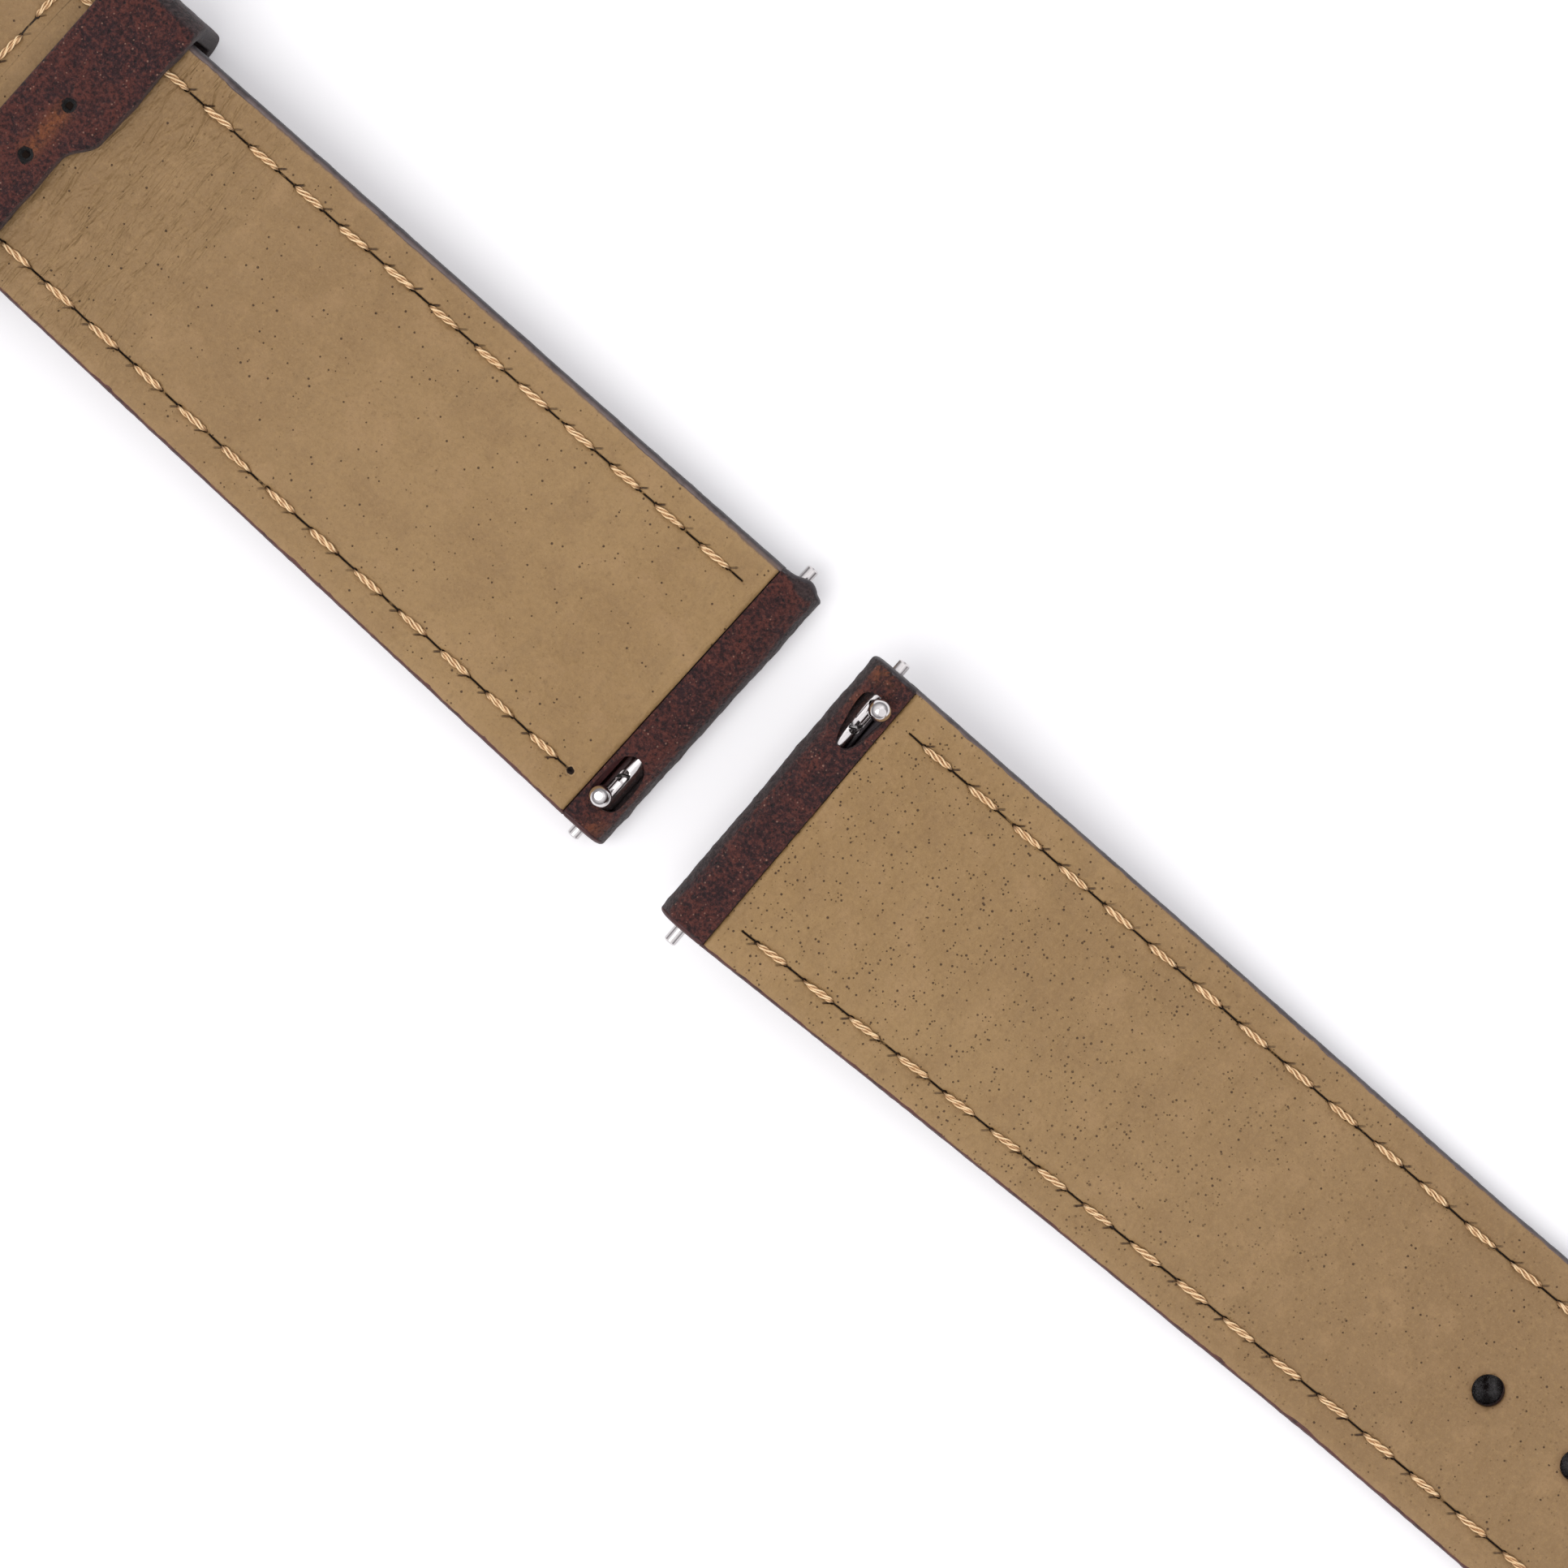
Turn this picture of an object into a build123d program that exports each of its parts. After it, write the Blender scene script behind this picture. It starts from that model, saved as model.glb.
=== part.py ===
from build123d import *
import math
import os

os.makedirs("parts", exist_ok=True)

# Two-piece leather watch strap, lining side up, in millimetres.
# The long half points along +X, the short half lies towards -X, Z is up and the floor is at zero.
# Each half is built in its own frame: x from the lug end along the lining face, y across,
# z up from the lining face. Turned parts such as the bars lie along y.

# Leather of both halves
lug_width = 20.0
tail_width = 18.0
upper_leather = 0.85
skived_leather = 0.6
lining_leather = 0.85
filler_feather = 0.15
body_thickness = 2.4
margin_width = 2.9
shoulder_width = 1.6
strip_width = 3.05
seam_gap = 0.08
edge_blend_length = 14.0
pad_length = 50.0
station_pitch = 7.5
shoulder_share = 0.75
crown_flat_share = 0.45
overrun = 2.0

# Short half
short_length = 75.0
tail_roll_length = 9.0
lay_angle = 2.0

# Long half
long_length = 120.0
long_taper_length = 50.0
curl_radius = 220.0
tip_radius = 24.0
tip_lead = 4.0
tip_round = 4.0
hole_count = 7
hole_diameter = 2.0
hole_pitch = 6.85
first_hole_setback = 63.8

# How the two halves lie
lug_gap = 5.35
lateral_offset = -0.26

# Stitching
row_inset = 2.25
row_start = 2.5
stitch_pitch = 3.6
stitch_length = 2.1
thread_width = 0.4
thread_side_gap = 0.03
thread_proud = 0.12
thread_sunk = 0.2
thread_depth = 0.33
thread_lap = 0.1
rise_share = 0.11
straight_share = 1e-6
cross_row_setbacks = (16.7, 6.6)
cross_stitches = 4
tip_stitches = 3

# Quick-release bars
barrel_diameter = 1.5
barrel_bore = 1.24
tunnel_clearance = 0.1
barrel_setback = 0.05
barrel_lip = 0.12
slide_clearance = 0.04
pin_tip_diameter = 0.8
pin_tip_clearance = 0.03
pin_tip_chamfer = 0.1
shoulder_gap = 0.02
plunger_reach = 0.7
fixed_tip_reach = 1.1
fixed_shank_length = 6.0
crimp_clearance = 0.01
plunger_tail = 1.3
release_travel = 1.8
knob_inset = 2.4
knob_stem_diameter = 0.6
knob_ball_diameter = 1.4
knob_height = 2.2
knob_lean = 8.0
knob_flat_diameter = 0.5
slot_clearance = 0.07
window_length = 3.8
window_width = 2.1
window_shift = 1.28
spring_wire = 0.16
spring_clearance = 0.06
spring_turns = 7
spring_sides = 5
spring_end_gap = 0.05

# Buckle, its bar and its tongue
buckle_side_clearance = 0.3
buckle_arm_width = 1.7
buckle_hub_radius = 1.55
buckle_reach = 12.5
buckle_bar_width = 2.2
buckle_thickness = 1.9
buckle_drop = 2.2
buckle_outer_corner = 3.2
buckle_inner_corner = 1.2
buckle_edge_bevel = 0.35
notch_depth = 0.5
notch_clearance = 0.15
tip_in_arm = 1.2
buckle_tip_shank = 4.0
tongue_width = 2.2
tongue_thickness = 1.1
tongue_slot_clearance = 0.4
tongue_slot_length = 4.4
tongue_wall = 0.75
tongue_bore_clearance = 0.06
tongue_overhang = 0.7
tongue_tip_round = 0.4
tongue_seat_gap = 0.03

# Keepers
keeper_leather = 1.1
keeper_side_clearance = 0.36
keeper_top_clearance = 0.25
keeper_tail_play = 0.95
keeper_outer_corner = 1.2
keeper_inner_corner = 0.5
floating_keeper_setback = 24.8
floating_keeper_width = 5.9
lap_step = 1.2
lap_step_place = -0.2
lap_step_length = 2.6
fixed_keeper_setback = 14.4
fixed_keeper_width = 5.5
fixed_keeper_sewn_leather = 0.5
fixed_keeper_side_gap = 0.2
staple_wire = 0.4
staple_clearance = 0.02
staple_half_span = 1.98
staple_shift = -0.22
staple_place = 2.9
staple_hole_diameter = 0.7
staple_leg_setback = 0.3

# Sizes that follow from those above
tunnel_radius = barrel_diameter / 2 + tunnel_clearance
lug_radius = tunnel_radius + upper_leather
lug_thickness = 2 * lug_radius
tail_radius = tunnel_radius + skived_leather
tail_thickness = 2 * tail_radius
margin_thickness = upper_leather + filler_feather + lining_leather
keeper_opening = body_thickness + margin_thickness + keeper_tail_play
keeper_floor = keeper_opening + keeper_leather
thread_groove_width = thread_width + 2 * thread_side_gap
first_hole = long_length - first_hole_setback
cross_row_places = [short_length - setback for setback in cross_row_setbacks]
floating_keeper_start = short_length - floating_keeper_setback
fixed_keeper_start = short_length - fixed_keeper_setback

upright = (Align.CENTER, Align.CENTER, Align.MIN)
hanging = (Align.CENTER, Align.CENTER, Align.MAX)
forward_down = (Align.MIN, Align.CENTER, Align.MAX)


class Half:
    """One strap half, with what its sections depend on."""

    def __init__(self, length, taper_length, curl, turned_tail):
        self.length = length
        self.taper_length = taper_length
        self.curl = curl
        self.turned_tail = turned_tail


short_half = Half(short_length, short_length, 0, True)
long_half = Half(long_length, long_taper_length, pad_length, False)


def ease(start, end, share):
    """Smooth change from start to end while the share goes from 0 to 1."""
    share = min(max(share, 0), 1)
    return start + (end - start) * share * share * (3 - 2 * share)


def tail_share(half, s):
    """How far a place is into the roll at the buckle end, from 0 to 1."""
    if not half.turned_tail:
        return 0
    return (s - (half.length - tail_roll_length)) / (tail_roll_length - strip_width)


def half_width(half, s):
    """Half the strap's width at a place along it."""
    share = min(max(s / half.taper_length, 0), 1)
    return (lug_width + (tail_width - lug_width) * share) / 2


def centre_thickness(half, s):
    """Thickness over the middle, padded at the lug end."""
    body = body_thickness if half.turned_tail else margin_thickness
    pad = ease(lug_thickness, body, (s - strip_width) / (pad_length - strip_width))
    return ease(pad, tail_thickness, tail_share(half, s))


def edge_thickness(half, s):
    """Thickness of the flat margin along each side."""
    edge = ease(lug_thickness, margin_thickness, (s - strip_width) / edge_blend_length)
    return ease(edge, tail_thickness, tail_share(half, s))


def leather_thickness(half, s):
    """Thickness of the upper leather, skived thin at the buckle end."""
    return ease(upper_leather, skived_leather, tail_share(half, s))


def curl_turn(half, s):
    """Slope of the lining face at a place, in radians."""
    return max(half.curl - s, 0) / curl_radius


def side_point(half, s, n):
    """Side view point that lies s along the lining face and n above it."""
    turn = curl_turn(half, s)
    if turn == 0:
        return (s, n)
    x = half.curl - curl_radius * math.sin(turn) + n * math.sin(turn)
    z = curl_radius * (1 - math.cos(turn)) + n * math.cos(turn)
    return (x, z)


def station_plane(half, s):
    """Plane square to the strap, with its own x across and its own y up."""
    x, z = side_point(half, s, 0)
    turn = curl_turn(half, s)
    return Plane(origin=(x, 0, z), x_dir=(0, 1, 0), z_dir=(math.cos(turn), 0, -math.sin(turn)))


def lug_frame(half):
    """Location of the turned strip's inner edge, tilted with the strap there."""
    x, z = side_point(half, strip_width, 0)
    return Pos(x, 0, z) * Rot(0, math.degrees(curl_turn(half, strip_width)), 0)


def tail_frame():
    """Location of the strip's inner edge at the buckle end, looking back along the strap."""
    return Pos(short_length - strip_width, 0, 0) * Rot(0, 0, 180)


def bar_frame(half):
    """Location of the quick-release bar's middle."""
    return lug_frame(half) * Pos(lug_radius - strip_width, 0, -lug_radius)


def buckle_axis_frame():
    """Location of the buckle bar's middle in the short half's frame."""
    return Pos(short_length - tail_radius, 0, -tail_radius)


def outer_places(half, s):
    """Half section of the outer face, as places across and their depths, from the side inwards."""
    width = half_width(half, s)
    edge = edge_thickness(half, s)
    centre = centre_thickness(half, s)
    margin = width - margin_width
    shoulder = margin - shoulder_width
    flat = crown_flat_share * shoulder
    shoulder_depth = edge + shoulder_share * (centre - edge)
    return [(width, edge), (margin, edge), (shoulder, shoulder_depth), (flat, centre)]


def outer_depth(half, s, y):
    """Depth of the outer face below the lining face at a place across the strap."""
    places = outer_places(half, s)
    across = abs(y)
    for (outer, outer_level), (inner, inner_level) in zip(places, places[1:]):
        if across >= inner:
            share = (outer - across) / (outer - inner)
            return outer_level + (inner_level - outer_level) * share
    return places[-1][1]


def outer_contour(half, s, lift):
    """Points of the outer face from one side to the other, lifted towards the lining."""
    places = outer_places(half, s)
    right = [(y, lift - depth) for y, depth in places]
    left = [(-y, lift - depth) for y, depth in reversed(places)]
    return right + left


def group_of(*shapes):
    """Separate solids kept together as one piece."""
    return Compound([solid for shape in shapes for solid in shape.solids()])


def closed_face(points):
    return make_face(Polyline(*points, close=True))


def upper_section(half, s):
    inner = outer_contour(half, s, leather_thickness(half, s))
    return closed_face(outer_contour(half, s, 0) + inner[::-1])


def filler_section(half, s):
    width = half_width(half, s)
    inner = outer_contour(half, s, leather_thickness(half, s))
    return closed_face(inner + [(-width, -lining_leather), (width, -lining_leather)])


def flat_section(half, s, depth):
    width = half_width(half, s)
    return closed_face([(width, 0), (-width, 0), (-width, -depth), (width, -depth)])


def lining_section(half, s):
    return flat_section(half, s, lining_leather)


def backed_lining_section(half, s):
    """Lining past the end of the filler, as thick as both."""
    return flat_section(half, s, lining_leather + filler_feather)


def stations(half, start, end):
    """Places of the sections: close together where the shape changes, none where it doesn't."""
    padded = round((pad_length - start) / station_pitch)
    places = [start] + [start + (pad_length - start) * (i + 1) / padded for i in range(padded)]
    if half.turned_tail:
        roll_start = half.length - tail_roll_length
        rolled = round(tail_roll_length / station_pitch) + 1
        places += [roll_start + (end - roll_start) * i / rolled for i in range(rolled + 1)]
    elif end > pad_length:
        places.append(end)
    return places


def layer(half, section, start, end):
    """Loft of one layer's sections along the strap."""
    faces = [station_plane(half, s) * section(half, s) for s in stations(half, start, end)]
    return loft(faces, ruled=True)


def turned_end(radius, leather, width):
    """Leather folded back round a bar tunnel, with its fold towards -x and its strip ending at x 0."""
    middle = radius - strip_width
    hollow = radius - leather
    outline = Polyline((middle, 0), (0, 0), (0, -leather), (middle, -leather))
    bottom = -2 * radius
    outline += ThreePointArc((middle, -leather), (middle - hollow, -radius), (middle, bottom + leather))
    outline += Polyline((middle, bottom + leather), (0, bottom + leather), (0, bottom), (middle, bottom))
    outline += ThreePointArc((middle, bottom), (-strip_width, -radius), (middle, 0))
    return extrude(Plane.XZ * make_face(outline), amount=width, both=True)


def turned_filler(radius, leather, width):
    """Filler inside a fold, from the tunnel's back to the strip's inner edge."""
    back = strip_width - radius - tunnel_radius
    height = 2 * (radius - leather)
    block = Box(back, 2 * width, height, align=(Align.MAX, Align.CENTER, Align.CENTER))
    return Pos(0, 0, -radius) * block


def seam_cut():
    """Fine gap between the lining and the turned strip, from the strip's edge towards +x."""
    return Box(seam_gap, lug_width + overrun, lining_leather, align=forward_down)


def release_window(half):
    """Oval opening over the release bar, from above the strip down to the bar's axis."""
    outline = Rot(0, 0, 90) * SlotOverall(window_length, window_width)
    place = lug_width / 2 - knob_inset - window_shift
    return bar_frame(half) * Pos(0, place, 0) * extrude(outline, amount=lug_radius + overrun)


def tongue_slot():
    """Slot at the buckle end that the tongue swings in."""
    width = tongue_width + 2 * tongue_slot_clearance
    block = Box(tongue_slot_length + overrun, width, tail_thickness + 2 * overrun)
    return Pos(short_length + (overrun - tongue_slot_length) / 2, 0, -tail_radius) * block


def stitch_spans(start, count):
    """Start and end of each visible stitch in a row."""
    return [(start + i * stitch_pitch, start + i * stitch_pitch + stitch_length) for i in range(count)]


def bends_of(points):
    """Points of a closed outline without those that its straight runs pass through."""
    kept = []
    for before, here, after in zip(points[-1:] + points[:-1], points, points[1:] + points[:1]):
        ahead = (after[0] - here[0], after[1] - here[1])
        behind = (here[0] - before[0], here[1] - before[1])
        turn = behind[0] * ahead[1] - behind[1] * ahead[0]
        if abs(turn) > straight_share * math.hypot(*ahead) * math.hypot(*behind):
            kept.append(here)
    return kept


def row_solid(outline, width, plane):
    return extrude(plane * closed_face(bends_of(outline)), amount=width / 2, both=True)


def row_places(spans):
    """Start of each stitch of a row, and the row's end."""
    return [start for start, end in spans] + [spans[-1][1]]


def thread_outline(spans, level, side, point):
    """Side view of a row of thread: proud along each stitch, dipping between, flat underneath.

    level gives the face's height at a place, side is 1 on the lining face and -1 on the outer face.
    """
    line = [(spans[0][0], 0), (spans[-1][1], 0)]
    for start, end in spans:
        rise = rise_share * (end - start)
        line += [(start + rise, thread_proud), (end - rise, thread_proud)]
    for before, after in zip(spans, spans[1:]):
        line.append(((before[1] + after[0]) / 2, -thread_sunk))
    top = [point(place, level(place) + side * height) for place, height in sorted(line)]
    base = [point(place, level(place) - side * thread_depth) for place in row_places(spans)]
    return top + base[::-1]


def groove_outline(spans, level, side, point):
    """Side view of the channel that a row of thread lies in."""
    places = row_places(spans)
    places[0] -= thread_side_gap
    places[-1] += thread_side_gap
    top = [point(place, level(place) + side * overrun) for place in places]
    base = [point(place, level(place) - side * thread_depth) for place in places]
    return top + base[::-1]


def side_level(half, side):
    """Height of the margin at a place along the strap, on one face."""
    if side > 0:
        return lambda s: 0
    return lambda s: -edge_thickness(half, s)


def taper_row_frame(half, hand):
    """Location of a stitch row where the strap tapers, hand 1 for +y and -1 for -y."""
    angle = math.degrees(math.atan2((lug_width - tail_width) / 2, half.taper_length))
    return Pos(0, hand * (lug_width / 2 - row_inset), 0) * Rot(0, 0, -hand * angle)


def parallel_row_frame(hand):
    """Location of a stitch row where the sides are parallel."""
    return Pos(0, hand * (tail_width / 2 - row_inset), 0)


def side_row(half, side, hand, start, count, lap, frame):
    """One row's thread and groove on one face of a half."""
    spans = stitch_spans(start, count)
    if lap:
        spans.append((start + count * stitch_pitch, start + count * stitch_pitch + lap))
    level = side_level(half, side)

    def point(s, n):
        return side_point(half, s, n)

    thread = row_solid(thread_outline(spans, level, side, point), thread_width, Plane.XZ)
    groove = row_solid(groove_outline(spans, level, side, point), thread_groove_width, Plane.XZ)
    return frame * thread, frame * groove


def short_side_rows(side, hand):
    start = strip_width + row_start
    count = int((short_length - 2 * start + stitch_pitch - stitch_length) / stitch_pitch)
    return side_row(short_half, side, hand, start, count, 0, taper_row_frame(short_half, hand))


def long_side_rows(side, hand):
    """Row along one side of the long half: the tapering stretch and the parallel stretch."""
    start = strip_width + row_start
    tapered = round((long_taper_length - start) / stitch_pitch)
    second = start + tapered * stitch_pitch
    straight = int((tip_start() - second + stitch_pitch - stitch_length) / stitch_pitch)
    first = side_row(long_half, side, hand, start, tapered, thread_lap, taper_row_frame(long_half, hand))
    last = side_row(long_half, side, hand, second, straight, 0, parallel_row_frame(hand))
    return first[0] + last[0], first[1] + last[1]


def cross_row(place, side):
    """Row across the short half, on one face."""
    length = (cross_stitches - 1) * stitch_pitch + stitch_length
    spans = stitch_spans(-length / 2, cross_stitches)

    def level(y):
        if side > 0:
            return 0
        return -outer_depth(short_half, place, y)

    def point(y, n):
        return (y, n)

    thread = row_solid(thread_outline(spans, level, side, point), thread_width, Plane.YZ)
    groove = row_solid(groove_outline(spans, level, side, point), thread_groove_width, Plane.YZ)
    return Pos(place, 0, 0) * thread, Pos(place, 0, 0) * groove


def tip_centre_depth():
    """How far each tip arc's centre lies past the strap's middle line."""
    return math.sqrt(tip_radius ** 2 - tip_lead ** 2) - tail_width / 2


def tip_start():
    """Place along the long half where the sides turn in to the tip."""
    return long_length - math.sqrt(tip_radius ** 2 - tip_centre_depth() ** 2) + tip_lead


def tip_face():
    """Pointed plan of the tip between two arcs, with a rounded point."""
    depth = tip_centre_depth()
    centre = tip_start() - tip_lead
    disc = Circle(tip_radius)
    arcs = Pos(centre, -depth, 0) * disc & Pos(centre, depth, 0) * disc
    return fillet(arcs.vertices().sort_by(Axis.X)[-1], tip_round)


def tip_waste():
    """What is cut off a parallel strap to leave the tip."""
    length = long_length - tip_start() + overrun
    height = body_thickness + 2 * overrun
    block = Box(length, tail_width + 2 * overrun, height, align=forward_down)
    kept = extrude(tip_face(), amount=-height - overrun)
    return Pos(tip_start(), 0, overrun) * block - Pos(0, 0, 2 * overrun) * kept


def tip_path():
    """Ends of the stitches round the tip, two to a stitch, from the +y side to the -y side."""
    radius = tip_radius - row_inset
    centre = tip_start() - tip_lead
    first = math.acos(tip_lead / radius)
    side = []
    for i in range(tip_stitches):
        for along in ((i + 1) * stitch_pitch - stitch_length, (i + 1) * stitch_pitch):
            angle = first - along / radius
            side.append((centre + radius * math.cos(angle), radius * math.sin(angle) - tip_centre_depth()))
    crossing = math.asin((tip_centre_depth() + stitch_length / 2) / radius)
    side.append((centre + radius * math.cos(crossing), stitch_length / 2))
    return side + [(x, -y) for x, y in reversed(side)]


def offset_line(points, distance):
    """Line moved sideways, to the left of its run, with mitred corners."""
    path = [Vector(*point) for point in points]
    runs = [(end - start).normalized() for start, end in zip(path, path[1:])]
    moved = []
    for here, before, after in zip(path, runs[:1] + runs, runs + runs[-1:]):
        run = before + after
        side = Vector(-run.Y, run.X)
        moved.append(here + side * (2 * distance / side.dot(side)))
    return moved


def tip_band(path, width, low, high):
    """Flat band along a line in plan, between two heights."""
    outline = offset_line(path, width / 2) + offset_line(path, -width / 2)[::-1]
    return Pos(0, 0, low) * extrude(closed_face(outline), amount=high - low)


def tip_row(side):
    """Thread and groove round the tip, on one face."""
    path = tip_path()
    face = 0 if side > 0 else -margin_thickness
    floor = face - side * thread_depth

    def band(points, width, height):
        return tip_band(points, width, *sorted((floor, face + side * height)))

    thread = band(path, thread_width, -thread_sunk)
    for start, end in zip(path[::2], path[1::2]):
        thread += band((start, end), thread_width, thread_proud)
    return thread, band(path, thread_groove_width, overrun)


def adjustment_holes():
    drill = Cylinder(hole_diameter / 2, body_thickness + 2 * overrun)
    places = [first_hole + i * hole_pitch for i in range(hole_count)]
    return [Pos(place, 0, -body_thickness / 2) * drill for place in places]


def cylinder_along_y(diameter, start, end):
    """Round bar along y between two places."""
    bar = Cylinder(diameter / 2, end - start)
    return Pos(0, (start + end) / 2, 0) * Rot(90, 0, 0) * bar


def pin_tip(start, end):
    """Round tip along y that is chamfered at its end."""
    bar = Cylinder(pin_tip_diameter / 2, abs(end - start))
    far = Axis.Z if end > start else -Axis.Z
    bar = chamfer(bar.edges().sort_by(far)[-1], pin_tip_chamfer)
    return Pos(0, (start + end) / 2, 0) * Rot(-90, 0, 0) * bar


def coil_spring(start, end, diameter):
    """Coil spring along y between two places, with flats instead of round turns."""
    length = end - start - spring_wire
    radius = (diameter - spring_wire) / 2
    steps = spring_turns * spring_sides
    points = []
    for i in range(steps + 1):
        angle = 2 * math.pi * i / spring_sides
        points.append((radius * math.cos(angle), radius * math.sin(angle), length * i / steps))
    path = Polyline(*points)
    wire = Plane(origin=path @ 0, z_dir=path % 0) * Rectangle(spring_wire, spring_wire)
    coil = sweep(wire, path=path, transition=Transition.RIGHT)
    return Pos(0, start + spring_wire / 2, 0) * Rot(-90, 0, 0) * coil


barrel_half = lug_width / 2 - barrel_setback
rod_diameter = barrel_bore - 2 * slide_clearance
rod_shoulder = barrel_half - barrel_lip - shoulder_gap
knob_place = lug_width / 2 - knob_inset
rod_end = knob_place - plunger_tail
shank_end = fixed_shank_length - barrel_half
spring_diameter = barrel_bore - 2 * spring_clearance
stem_slot_width = knob_stem_diameter + 2 * slot_clearance


def release_barrel():
    """Tube with a lip at the plunger's end and a slot for the knob's stem."""
    tube = cylinder_along_y(barrel_diameter, -barrel_half, barrel_half)
    tube -= cylinder_along_y(barrel_bore, -barrel_half - overrun, barrel_half - barrel_lip)
    tube -= cylinder_along_y(pin_tip_diameter + 2 * pin_tip_clearance, 0, barrel_half + overrun)
    outline = Rot(0, 0, 90) * SlotOverall(release_travel + stem_slot_width, stem_slot_width)
    place = knob_place - release_travel / 2
    return tube - Pos(0, place, 0) * extrude(outline, amount=barrel_diameter)


def release_fixed_tip():
    """Tip crimped into the barrel's plain end."""
    shank = cylinder_along_y(barrel_bore - 2 * crimp_clearance, -barrel_half, shank_end)
    return shank + pin_tip(-barrel_half, -lug_width / 2 - fixed_tip_reach)


def release_plunger():
    """Sliding rod with its tip, cross-drilled for the knob's stem."""
    rod = cylinder_along_y(rod_diameter, rod_end, rod_shoulder)
    rod += pin_tip(rod_shoulder, lug_width / 2 + plunger_reach)
    bore = Cylinder(knob_stem_diameter / 2 + crimp_clearance, rod_diameter + overrun)
    return rod - Pos(0, knob_place, 0) * bore


def release_knob():
    """Stem riveted through the rod, with a ball to push on."""
    foot = -rod_diameter / 2
    stem = Cylinder(knob_stem_diameter / 2, knob_height - foot, align=upright)
    ball = Sphere(knob_ball_diameter / 2)
    flat = knob_ball_diameter / 2 - math.sqrt((knob_ball_diameter / 2) ** 2 - (knob_flat_diameter / 2) ** 2)
    ball -= Pos(0, 0, knob_ball_diameter - flat) * Box(*[knob_ball_diameter] * 3)
    return Pos(0, knob_place, foot) * stem + Pos(0, knob_place, knob_height) * ball


def release_spring():
    return coil_spring(shank_end + spring_end_gap, rod_end - spring_end_gap, spring_diameter)


def release_bar_parts(half):
    """Quick-release bar of one half, its knob leaning towards the lining."""
    frame = bar_frame(half) * Rot(0, knob_lean, 0)
    return {
        "bar_barrel": frame * release_barrel(),
        "bar_fixed_tip": frame * release_fixed_tip(),
        "bar_plunger": frame * release_plunger(),
        "bar_knob": frame * release_knob(),
        "bar_spring": frame * release_spring(),
    }


def loop_section(half_opening, top, bottom, inner_corner):
    """Section of a leather loop, with rounded corners, between its inner top and bottom."""
    height = top - bottom
    width = 2 * half_opening
    outer = RectangleRounded(width + 2 * keeper_leather, height + 2 * keeper_leather, keeper_outer_corner)
    inner = RectangleRounded(width, height, inner_corner)
    return Pos(0, (top + bottom) / 2) * (outer - inner)


floating_middle = floating_keeper_start + floating_keeper_width / 2
floating_half_opening = half_width(short_half, floating_middle) + keeper_side_clearance
keeper_crown = keeper_top_clearance + keeper_leather


def floating_keeper_blank():
    """Closed loop round the strap, narrower past the lap on its +y side."""
    section = loop_section(floating_half_opening, keeper_top_clearance, -keeper_opening, keeper_inner_corner)
    loop = extrude(Plane.YZ * section, amount=floating_keeper_width)
    outside = floating_half_opening + keeper_leather + overrun
    before = lap_step_place + lap_step_length / 2
    after = lap_step_place - lap_step_length / 2
    plan = closed_face([
        (-overrun, -before), (0, -before), (lap_step, -after), (lap_step, outside), (-overrun, outside),
    ])
    waste = extrude(plan, amount=keeper_floor + keeper_crown + 2 * overrun)
    return loop - Pos(0, 0, -keeper_floor - overrun) * waste


def staple_shape(wire, leg):
    """Staple: a bar across under the band and two legs up into it."""
    bar = Box(wire, 2 * staple_half_span + wire, wire, align=upright)
    return bar + [Pos(0, hand * staple_half_span, 0) * leg for hand in (1, -1)]


def floating_keeper_parts():
    """Floating keeper and the staple that holds its lap."""
    place = Pos(floating_keeper_start + staple_place, -staple_shift, keeper_top_clearance)
    hole = Cylinder(staple_hole_diameter / 2, keeper_leather + overrun, align=upright)
    room = Pos(0, 0, -staple_clearance) * staple_shape(staple_wire + 2 * staple_clearance, hole)
    leg = Box(staple_wire, staple_wire, keeper_leather - staple_leg_setback, align=upright)
    keeper = Pos(floating_keeper_start, 0, 0) * floating_keeper_blank() - place * room
    return keeper, place * staple_shape(staple_wire, leg)


def fixed_keeper():
    """Loop whose skived upper run is sewn in under the lining."""
    middle = fixed_keeper_start + fixed_keeper_width / 2
    opening = half_width(short_half, middle) + fixed_keeper_side_gap
    top = -lining_leather - fixed_keeper_sewn_leather
    section = loop_section(opening, top, -keeper_opening, fixed_keeper_side_gap / 2)
    width = 2 * (opening + keeper_leather)
    trimmed = Pos(0, -lining_leather - keeper_floor / 2) * Rectangle(width, keeper_floor)
    loop = extrude(Plane.YZ * (section & trimmed), amount=fixed_keeper_width)
    return Pos(fixed_keeper_start, 0, 0) * loop


def fixed_keeper_seat():
    """Room for the fixed keeper's upper run between the lining and the upper."""
    width = lug_width + 2 * overrun
    block = Box(fixed_keeper_width, width, fixed_keeper_sewn_leather, align=forward_down)
    return Pos(fixed_keeper_start, 0, -lining_leather) * block


buckle_half_opening = tail_width / 2 + buckle_side_clearance
buckle_half_width = buckle_half_opening + buckle_arm_width
crossbar_start = buckle_reach - buckle_bar_width
crossbar_bottom = -buckle_drop - buckle_thickness / 2
finger_top = crossbar_bottom + notch_depth - tongue_seat_gap
finger_bottom = finger_top - tongue_thickness


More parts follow.
